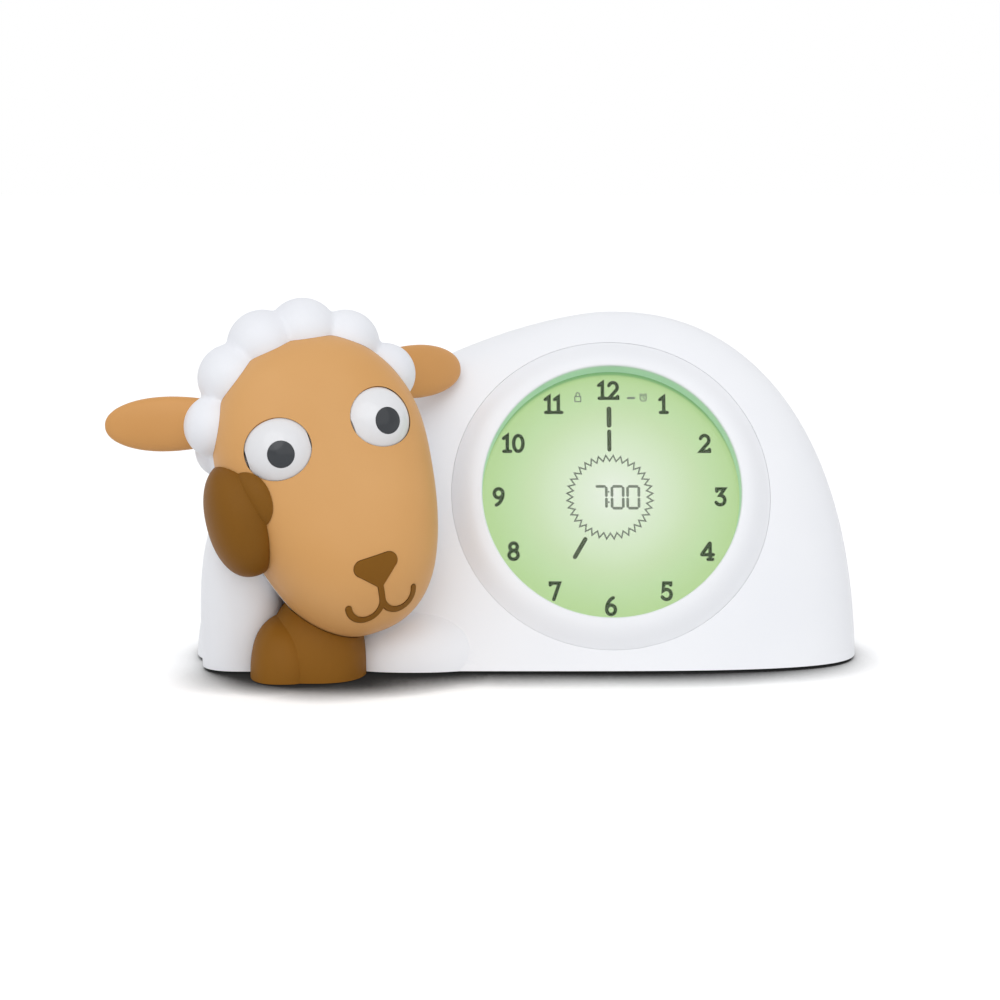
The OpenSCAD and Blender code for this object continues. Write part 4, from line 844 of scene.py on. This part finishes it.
face_mask = loft("face_mask_skin", head_cuts(0), HEAD_PLACE)
join_by("INTERSECT", face_mask, [head_side(-99, 0)])
join_by("DIFFERENCE", face_mask, [head_tool(-HEAD_WALL),
                                  ball("right_socket", EYE_R + FIT_GAP, eye_place(1)),
                                  ball("left_socket", EYE_R + FIT_GAP, eye_place(-1)),
                                  join_by("DIFFERENCE", mouth_solid(0.15), [head_tool(-1, 128, 64)])])
smooth(face_mask, 40)
face_tan = moulded("face_tan", MASK_SKIN, (0.65, 0.335, 0.11), (0.4, 0.5), 700, 0.02, specular=0.3)
finish_piece(face_mask, face_tan, "clock", "tan_plastic", "face_mask")

# ---- Fleece ----
# Hood of white moulded curls over the back of the head. Neighbouring curls run into each
# other with soft creases.
CURL_R = 12.0
CURL_OUT = 1.5
CURL_ROWS = ((8, 6, 36), (32, 6, 29), (56, 6, 14), (78, 2, 62))


def curl_place(a, depth):
    u = math.sin(a) * math.cos(depth)
    w = mix(MUZZLE[0], BROW[0], brow_share(0.9 * u))
    out = CURL_OUT * math.sin(a)
    return ((w + out) * math.cos(a) * math.cos(depth), (BROW[2] + out) * math.sin(depth),
            (HEAD_HALF + out) * u)


hood_parts = [join_by("INTERSECT", head_tool(0), [head_side(0, 99)])]
for depth, count, first in CURL_ROWS:
    for k in range(count):
        turn = math.radians(first + (180 - 2 * first) * k / (count - 1))
        radius = CURL_R * (0.7 + 0.3 * math.sin(turn)) - depth / 40
        spot = curl_place(turn, math.radians(depth))
        hood_parts.append(ball("curl", radius, HEAD_PLACE @ Matrix.Translation(spot), 48, 24))
with bpy.context.temp_override(active_object=hood_parts[0], selected_editable_objects=hood_parts,
                               selected_objects=hood_parts, object=hood_parts[0]):
    bpy.ops.object.join()
fleece = hood_parts[0]
fleece.name = "fleece_curls"
melt = fleece.modifiers.new("melt", "REMESH")
melt.mode = "VOXEL"
melt.voxel_size = 0.8 * MM
soften = fleece.modifiers.new("soften", "SMOOTH")
soften.factor = 0.5
soften.iterations = 5
applied(fleece)
fleece_front = join_by("INTERSECT", head_tool(0.05, 192, 96), [head_side(-99, 0)])
join_by("DIFFERENCE", fleece, [fleece_front, head_tool(-HEAD_WALL), body_tool(FIT_GAP, 10)])
smooth(fleece, 50)
fleece_white = moulded("fleece_white", (0.87, 0.88, 0.91), (0.82, 0.83, 0.87), (0.45, 0.58), 500, 0.05)
finish_piece(fleece, fleece_white, "clock", "fleece_white", "fleece_hood")

# ---- Nose and mouth ----
# Brown inlay, a little proud of its recess in the muzzle.
paint_brown = moulded("hoof_brown", (0.252, 0.104, 0.008), (0.2, 0.082, 0.007), (0.5, 0.6), 700, 0.02,
                      specular=0.15)
nose_inlay = join_by("INTERSECT", mouth_solid(0), [head_tool(0.28, 192, 96)])
join_by("DIFFERENCE", nose_inlay, [head_tool(-0.95, 128, 64)])
smooth(nose_inlay, 40)
finish_piece(nose_inlay, paint_brown, "clock", "brown_plastic", "nose_inlay")

# ---- Ears ----
# Thick leaves of tan plastic, hollowed a little in front, set in the sides of the head.
EAR_AT = (26.0, 5.0, 30.0)
EAR_LENGTH, EAR_WIDTH, EAR_T = 39.0, 21.0, 9.0
ear_tan = moulded("ear_tan", (0.65, 0.325, 0.105), (0.6, 0.29, 0.085), (0.4, 0.5), 700, 0.02, specular=0.3)


def ear_cuts(sides=64, levels=40):
    cuts = []
    for q in rising(0.0, levels):
        k = fall(q, 2.2, 2.2) * (0.62 + 0.85 * q * (1 - 0.45 * q))
        cuts.append(level_cut(-EAR_WIDTH / 2 * k, EAR_WIDTH / 2 * k, -EAR_T / 2 * k, EAR_T / 2 * k,
                              q * EAR_LENGTH, 2.2, sides))
    return cuts


for side, lift, sweep, name in ((-1, 14, 20, "ear_left"), (1, -10, 26, "ear_right")):
    flip = Matrix.Diagonal((side, 1, 1, 1))
    ear_place = HEAD_PLACE @ flip @ placed(EAR_AT, ("Z", sweep), ("Y", 90 - lift))
    ear = loft(name + "_skin", ear_cuts(), ear_place)
    join_by("DIFFERENCE", ear, [head_tool(0.05)])
    smooth(ear, 50)
    finish_piece(ear, ear_tan, "clock", "tan_plastic", name)

# ---- Eyes ----
# Glossy balls that turn behind the mask: a white part with an inlaid black pupil, and a tan
# lid that comes down in front as the ball turns.
eye_white = moulded("eye_white", (0.8, 0.8, 0.815), (0.77, 0.77, 0.785), (0.14, 0.2), 1200, 0.005)
eye_black = moulded("eye_black", (0.016, 0.02, 0.025), (0.022, 0.026, 0.032), (0.12, 0.18), 1200, 0.005)
paint_nodes(eye_white, "eye_white_left", "eye_white_right")
paint_nodes(eye_black, "pupil_left", "pupil_right")
paint_nodes(face_tan, "eyelid_left", "eyelid_right")

# ---- Hooves ----
# Brown moulded hooves, one flat on the table and one propped against the cheek, each with a
# cleft between its toes.
HOOF_AT = (-72.0, -41.0)
HOOF_HALF = 19.0
HOOF_HEIGHT = 27.0
HOOF_LOW = 0.4
TOE_HALF = HOOF_HALF * 0.6
hoof_lying = loft("hoof_lying_skin", half_egg_cuts(
    HOOF_AT[0] + HOOF_HALF * 0.12, HOOF_AT[1], HOOF_HALF * 0.88, HOOF_HALF, HOOF_HEIGHT, 2.4, low=HOOF_LOW,
    sides=144, levels=64))
join_by("UNION", hoof_lying, [loft("outer_toe", half_egg_cuts(
    HOOF_AT[0] - HOOF_HALF + TOE_HALF, HOOF_AT[1] - 3, TOE_HALF, HOOF_HALF - 1.5, HOOF_HEIGHT * 0.74, 2.4,
    low=HOOF_LOW, sides=144, levels=64))])
join_by("DIFFERENCE", hoof_lying, [
    body_tool(FIT_GAP), foreleg(FIT_GAP, -1), prop_leg(FIT_GAP, -1), head_tool(FIT_GAP)])
smooth(hoof_lying, 40)
finish_piece(hoof_lying, paint_brown, "clock", "brown_plastic", "hoof_lying")

PAW_AT = (-92.0, -57.0, 54.0)
PAW_HALF = 19.0
PAW_WIDE = 11.5
PAW_TOE = 0.72


def ovoid_cuts(rx, ry, rz, sides=144, levels=64):
    cuts = []
    for i in range(levels + 1):
        q = LOFT_END * math.sin(math.pi * (i / levels - 0.5))
        k = fall(q, 2.2, 2.2)
        cuts.append(level_cut(-rx * k, rx * k, -ry * k, ry * k, q * rz, 2.2, sides))
    return cuts


paw_place = placed(PAW_AT, ("Z", 10), ("Y", -12))
hoof_propped = loft("hoof_propped_skin", ovoid_cuts(PAW_WIDE, PAW_HALF, PAW_HALF), paw_place)
join_by("UNION", hoof_propped, [loft(
    "small_toe", ovoid_cuts(PAW_WIDE * PAW_TOE, PAW_HALF * 0.86, PAW_HALF * PAW_TOE),
    paw_place @ placed((7, -2, PAW_HALF * 0.3), ("Y", -14)))])
join_by("DIFFERENCE", hoof_propped, [prop_leg(FIT_GAP), body_tool(FIT_GAP), head_tool(FIT_GAP)])
smooth(hoof_propped, 40)
finish_piece(hoof_propped, paint_brown, "clock", "brown_plastic", "hoof_propped")

# ---- Rear shell ----
# The rear half of the dome in the same satin white, with a sunk stadium bay for the controls,
# an opening for the battery box, a grille over the speaker and round holes for the screws.
BAY_X, BAY_Z, BAY_Y = 16.5, 80.0, 34.5
BAY_HALF, BAY_HALF_HEIGHT = 39.0, 7.5
FLOOR_BACK = BAY_Y - WALL
BUTTON_X = (-16.0, -4.0, 8.0, 20.0, 32.0)
BUTTON_R = 4.0
SLIDER_X = 43.0
SLOT_BEFORE, SLOT_AFTER, SLOT_HALF = 2.8, 8.8, 2.3
BOSSES = ((-92.0, 20.0), (-46.0, 76.0), (98.0, 20.0), (89.0, 69.0))
DOOR_X, DOOR_Z, DOOR_Y = -2.0, 29.9, 40.0
DOOR_HALF, DOOR_HALF_HEIGHT = 35.0, 23.4
DOOR_SCREW = 32.3
SPEAKER_AT, SPEAKER_Y = (64.0, 38.0), 36.5
SOCKET_AT, SOCKET_Y = (-64.0, 27.0), 37.0
LIGHT_HALF, LIGHT_HALF_WIDTH = 13.5, 5.5
LIGHT_BACK = 14.0
LIGHT_SHARE = LIGHT_BACK / (REAR_REACH - RIDGE_Y)
LIGHT_Q = fall(LIGHT_SHARE, 2.6, 2.6)
LIGHT_LEAN = math.atan(LIGHT_SHARE ** 1.6 / (REAR_REACH - RIDGE_Y) / (LIGHT_Q ** 1.6 / DOME_HEIGHT))
LIGHT_PLACE = (Matrix.Translation((DIAL_X, RIDGE_Y + LIGHT_BACK, LIGHT_Q * DOME_HEIGHT))
               @ Matrix.Rotation(-LIGHT_LEAN, 4, "X"))


def stadium(half_length, half_width, sides=24):
    """Outline with straight sides and half-round ends."""
    reach = half_length - half_width
    return [(end * reach + half_width * math.cos(math.radians(start + 180 * i / sides)),
             half_width * math.sin(math.radians(start + 180 * i / sides)))
            for end, start in ((1, -90), (-1, 90)) for i in range(sides + 1)]


def along_back(x, z):
    """Frame whose height points out of the clock's back, at a place on it."""
    return placed((x, 0, z), ("X", -90))


def grown_tree(name, *inputs):
    """Tree of nodes that grow a mesh, with its named inputs, and the outputs of its first node."""
    tree = bpy.data.node_groups.new(name, "GeometryNodeTree")
    for label, kind, value in (("Geometry", "Geometry", None), *inputs, ("Material", "Material", None)):
        socket = tree.interface.new_socket(name=label, in_out="INPUT", socket_type="NodeSocket" + kind)
        if value is not None:
            socket.default_value = value
    tree.interface.new_socket(name="Geometry", in_out="OUTPUT", socket_type="NodeSocketGeometry")
    return tree, add_node(tree, "NodeGroupInput").outputs


def copies_at(tree, enter, points, shape):
    """Ends a tree with real copies of a shape at its points, in its material."""
    copies = add_node(tree, "GeometryNodeInstanceOnPoints", {"Points": points, "Instance": shape})
    real = add_node(tree, "GeometryNodeRealizeInstances", {"Geometry": copies.outputs["Instances"]})
    coat = add_node(tree, "GeometryNodeSetMaterial",
                    {"Geometry": real.outputs["Geometry"], "Material": enter["Material"]})
    add_node(tree, "NodeGroupOutput", {"Geometry": coat.outputs["Geometry"]})


def grille_tree():
    """Rings of points, six more in each, with a closed pin at every point."""
    tree, enter = grown_tree("grille_pins", ("Holes", "Int", 37), ("Step", "Float", 4.8 * MM),
                             ("Radius", "Float", 1.1 * MM), ("Length", "Float", 20 * MM))

    def sums(operation, *values):
        return maths(tree, operation, *values)

    index = add_node(tree, "GeometryNodeInputIndex").outputs["Index"]
    root = sums("SQRT", sums("ADD", sums("MULTIPLY", index, 12.0), 9.0))
    share = sums("DIVIDE", sums("SUBTRACT", root, 3.0), 6.0)
    ring = sums("MAXIMUM", sums("CEIL", sums("SUBTRACT", share, 0.001)), 0.0)
    before = sums("MULTIPLY", sums("MULTIPLY", ring, 3.0), sums("SUBTRACT", ring, 1.0))
    place = sums("SUBTRACT", sums("SUBTRACT", index, 1.0), before)
    turn = sums("DIVIDE", sums("MULTIPLY", place, math.pi / 3), sums("MAXIMUM", ring, 1.0))
    reach = sums("MULTIPLY", ring, enter["Step"])
    spot = add_node(tree, "ShaderNodeCombineXYZ", {"X": sums("MULTIPLY", reach, sums("COSINE", turn)),
                                                   "Y": sums("MULTIPLY", reach, sums("SINE", turn))})
    dots = add_node(tree, "GeometryNodePoints", {"Count": enter["Holes"], "Position": spot.outputs["Vector"]})
    pin = add_node(tree, "GeometryNodeMeshCylinder",
                   {"Vertices": 24, "Radius": enter["Radius"], "Depth": enter["Length"]})
    copies_at(tree, enter, dots.outputs["Points"], pin.outputs["Mesh"])
    return tree


def grown(name, tree, values, place, spots=()):
    """Plain mesh object of what a node tree makes from places and inputs."""
    made = bpy.data.objects.new(name, bpy.data.meshes.new(name))
    made.data.from_pydata([Vector(spot) * MM for spot in spots], [], [])
    scene.collection.objects.link(made)
    change = made.modifiers.new("grow", "NODES")
    change.node_group = tree
    for item in tree.interface.items_tree:
        if item.in_out == "INPUT" and item.name in values:
            change[item.identifier] = values[item.name]
    applied(made).data.transform(Matrix.Scale(MM, 4) @ place @ Matrix.Scale(1 / MM, 4))
    return made


CLEAR = 60.0
BOSS_R, SCREW_HOLE_R, HEAD_HOLE_R = 4.0, 1.65, 3.1
HEAD_SEAT = SPLIT_Y + 3
SPEAKER_SEAT_R, SPEAKER_ROOM_R = 22.0, 20.3
SOCKET_SEAT_R, SOCKET_HOLE_R = 7.5, 4.1
BOX_MARGIN = 1.8


def bore(radius, sides, low, high, spot):
    """Round tool square to the back, at a place on it."""
    return prism("bore", circle(radius, sides), low, high, along_back(*spot))


def door_block(margin, low, high):
    """Block as large as the battery door and a margin."""
    return box_solid(DOOR_X - DOOR_HALF - margin, DOOR_X + DOOR_HALF + margin, low, high,
                     DOOR_Z - DOOR_HALF_HEIGHT - margin, DOOR_Z + DOOR_HALF_HEIGHT + margin)


rear_shell = loft("rear_shell_skin", body_cuts(0, RIM_Z))
join_by("INTERSECT", rear_shell, [box_solid(-ROOM, ROOM, SPLIT_Y, ROOM, RIM_Z, ROOM)])
rear_hollow = body_tool(-WALL)
join_by("DIFFERENCE", rear_hollow, [
    prism("bay_walls", stadium(BAY_HALF + WALL, BAY_HALF_HEIGHT + WALL), FLOOR_BACK, CLEAR,
          along_back(BAY_X, BAY_Z)),
    bore(SPEAKER_SEAT_R, 96, SPEAKER_Y, CLEAR, SPEAKER_AT),
    bore(SOCKET_SEAT_R, 48, SOCKET_Y, CLEAR, SOCKET_AT),
    prism("light_collar", stadium(LIGHT_HALF + 3, LIGHT_HALF_WIDTH + 3), -6, 24, LIGHT_PLACE)]
    + [bore(BOSS_R, 32, SPLIT_Y + 0.01 * k, CLEAR, spot) for k, spot in enumerate(BOSSES)])
grille = grown("grille_cutters", grille_tree(), {"Material": white_satin},
               along_back(*SPEAKER_AT) @ Matrix.Translation((0, 0, SPEAKER_Y + 5)))
join_by("DIFFERENCE", rear_shell, [
    rear_hollow,
    prism("bay", stadium(BAY_HALF, BAY_HALF_HEIGHT), BAY_Y, 80, along_back(BAY_X, BAY_Z)),
    prism("slider_slot", rectangle(SLIDER_X - SLOT_BEFORE, SLIDER_X + SLOT_AFTER, -SLOT_HALF, SLOT_HALF),
          FLOOR_BACK - 1, BAY_Y + 1, along_back(0, BAY_Z)),
    prism("light_hole", stadium(LIGHT_HALF + FIT_GAP, LIGHT_HALF_WIDTH + FIT_GAP), -20, 20, LIGHT_PLACE),
    bore(SOCKET_HOLE_R, 48, SOCKET_Y - 1, CLEAR, SOCKET_AT), door_block(FIT_GAP, DOOR_Y - 1, 80),
    door_block(BOX_MARGIN, 0, DOOR_Y), bore(SPEAKER_ROOM_R, 96, 20, SPEAKER_Y, SPEAKER_AT), grille]
    + [bore(BUTTON_R + 0.15, 48, FLOOR_BACK - 1, BAY_Y + 1, (x, BAY_Z)) for x in BUTTON_X]
    + [bore(SCREW_HOLE_R, 32, SPLIT_Y - 1, CLEAR, spot) for spot in BOSSES]
    + [bore(HEAD_HOLE_R, 48, HEAD_SEAT, CLEAR, spot) for spot in BOSSES])
smooth(rear_shell, 28)
finish_piece(rear_shell, white_satin, "clock", "white_shell", "rear_shell")

# ---- Battery door ----
# Lifts straight off the back. Its outside follows the dome, with two sunk screws and three
# shallow grooves along its upper edge to pull it by.
GROOVE_DEEP, GROOVE_HALF = 0.45, 9.0
GROOVE_LOW = (44.5, 46.7, 48.9)
DOOR_SCREWS = [(DOOR_X + side * DOOR_SCREW, DOOR_Z) for side in (-1, 1)]
DOOR_SEAT, DOOR_HOLE_R, DOOR_HEAD_R = DOOR_Y + 1.6, 1.25, 2.9
door = join_by("INTERSECT", loft("battery_door_skin", body_cuts(0, RIM_Z)), [door_block(0, DOOR_Y, 80)])
grooves = [box_solid(DOOR_X - GROOVE_HALF, DOOR_X + GROOVE_HALF, 30, CLEAR, z, z + 1) for z in GROOVE_LOW]
door_grooves = join_by("UNION", grooves[0], grooves[1:])
join_by("DIFFERENCE", door_grooves, [body_tool(-GROOVE_DEEP)])
join_by("DIFFERENCE", door, [door_grooves]
        + [bore(DOOR_HOLE_R, 32, DOOR_Y - 1, CLEAR, spot) for spot in DOOR_SCREWS]
        + [bore(DOOR_HEAD_R, 48, DOOR_SEAT, CLEAR, spot) for spot in DOOR_SCREWS])
smooth(door, 28)
finish_piece(door, white_satin, "door", "white_shell", "battery_door")

# ---- Light button ----
# Soft white key behind the ridge, a little proud of the dome and guided by a flange below.
LIGHT_PROUD = 0.6
KEY_LOW, KEY_HIGH, FLANGE_HIGH, FLANGE_OUT = -7.2, 22.8, -6.05, 1.2
button_white = moulded("button_satin", (0.7, 0.71, 0.73), (0.66, 0.67, 0.69), (0.45, 0.55), 700, 0.03)
light_key = loft("light_button_skin", body_cuts(LIGHT_PROUD, 60))
join_by("INTERSECT", light_key, [
    prism("key_block", stadium(LIGHT_HALF, LIGHT_HALF_WIDTH), KEY_LOW, KEY_HIGH, LIGHT_PLACE)])
join_by("UNION", light_key, [
    prism("key_flange", stadium(LIGHT_HALF + FLANGE_OUT, LIGHT_HALF_WIDTH + FLANGE_OUT), KEY_LOW, FLANGE_HIGH,
          LIGHT_PLACE)])
smooth(light_key, 40)
finish_piece(light_key, button_white, "light_key", "soft_button", "light_button")

# ---- Screws ----
# Pan heads with a cross recess on plain shanks, one tree for all of them.
CROSS_DEEP, CROSS_LONG, CROSS_WIDE = 0.55, 1.15, 0.26
SHANK_LAP = 0.1


def screw_tree():
    """One screw at each point of a mesh: a head, a shank and a cross cut into the head."""
    tree, enter = grown_tree("screw_set", *((label, "Float", MM) for label in (
        "Head Radius", "Head Height", "Shank Radius", "Shank Length")))

    def rod(sides, radius, length):
        return add_node(tree, "GeometryNodeMeshCylinder", {
            "Vertices": sides, "Radius": enter[radius], "Depth": enter[length]}).outputs["Mesh"]

    def scaled(label, factor):
        return maths(tree, "MULTIPLY", enter[label], factor)

    def moved(shape, rise):
        offset = add_node(tree, "ShaderNodeCombineXYZ", {"Z": rise}).outputs["Vector"]
        return add_node(tree, "GeometryNodeTransform",
                        {"Geometry": shape, "Translation": offset}).outputs["Geometry"]

    head = moved(rod(48, "Head Radius", "Head Height"), scaled("Head Height", 0.5))
    shape = add_node(tree, "GeometryNodeMeshBoolean", {"Mesh 2": head}, operation="UNION")
    shank_rise = maths(tree, "ADD", scaled("Shank Length", -0.5), SHANK_LAP * MM)
    set_inputs(tree, shape, {"Mesh 2": moved(rod(32, "Shank Radius", "Shank Length"), shank_rise)})
    cut = add_node(tree, "GeometryNodeMeshBoolean", {"Mesh 1": shape.outputs["Mesh"]}, operation="DIFFERENCE")
    for long_axis, short_axis in (("X", "Y"), ("Y", "X")):
        size = add_node(tree, "ShaderNodeCombineXYZ", {
            long_axis: scaled("Head Radius", CROSS_LONG), short_axis: scaled("Head Radius", CROSS_WIDE),
            "Z": 2 * CROSS_DEEP * MM})
        bar = add_node(tree, "GeometryNodeMeshCube", {"Size": size.outputs["Vector"]})
        set_inputs(tree, cut, {"Mesh 2": moved(bar.outputs["Mesh"], enter["Head Height"])})
    dots = add_node(tree, "GeometryNodeMeshToPoints", {"Mesh": enter["Geometry"]})
    copies_at(tree, enter, dots.outputs["Points"], cut.outputs["Mesh"])
    return tree


SCREW_TREE = screw_tree()


def screws(name, spots, seat, head_r, head_height, shank_r, shank_length):
    """Screws in the back, with their heads on seats at one distance from the clock's middle."""
    made = grown(name, SCREW_TREE, {"Head Radius": head_r * MM, "Head Height": head_height * MM,
                                    "Shank Radius": shank_r * MM, "Shank Length": shank_length * MM,
                                    "Material": bright_metal},
                 along_back(0, 0), [(x, -z, seat) for x, z in spots])
    return smooth(made, 30)


housing_screws = screws("housing_screw_set", BOSSES, HEAD_SEAT, 2.6, 2, 1.5, 13.1)
finish_piece(housing_screws, bright_metal, "clock", "steel", "housing_screws")
door_screws = screws("door_screw_set", DOOR_SCREWS, DOOR_SEAT, 2.3, 0.8, 1.1, 7.7)
finish_piece(door_screws, bright_metal, "door", "steel", "door_screws")

# ---- Base, feet and back ----
# Grey base plate on soft rubber feet.
paint_nodes(moulded("base_grey", (0.42, 0.43, 0.44), (0.38, 0.39, 0.4), (0.5, 0.6), 500, 0.04), "base_plate",
            "volume_slider")
paint_nodes(moulded("foot_rubber", (0.03, 0.03, 0.032), (0.045, 0.045, 0.047), (0.75, 0.85), 600, 0.05),
            "rubber_feet")
paint_nodes(button_white, "button_1", "button_2", "button_3", "button_4", "button_5")
paint_nodes(moulded("cell_wrap", (0.6, 0.36, 0.05), (0.5, 0.3, 0.04), (0.2, 0.3), 300, 0.01, coat=0.5),
            "battery_cells")
paint_nodes(moulded("cone_paper", (0.03, 0.03, 0.03), (0.05, 0.05, 0.05), (0.8, 0.9), 900, 0.06),
            "speaker_cone")
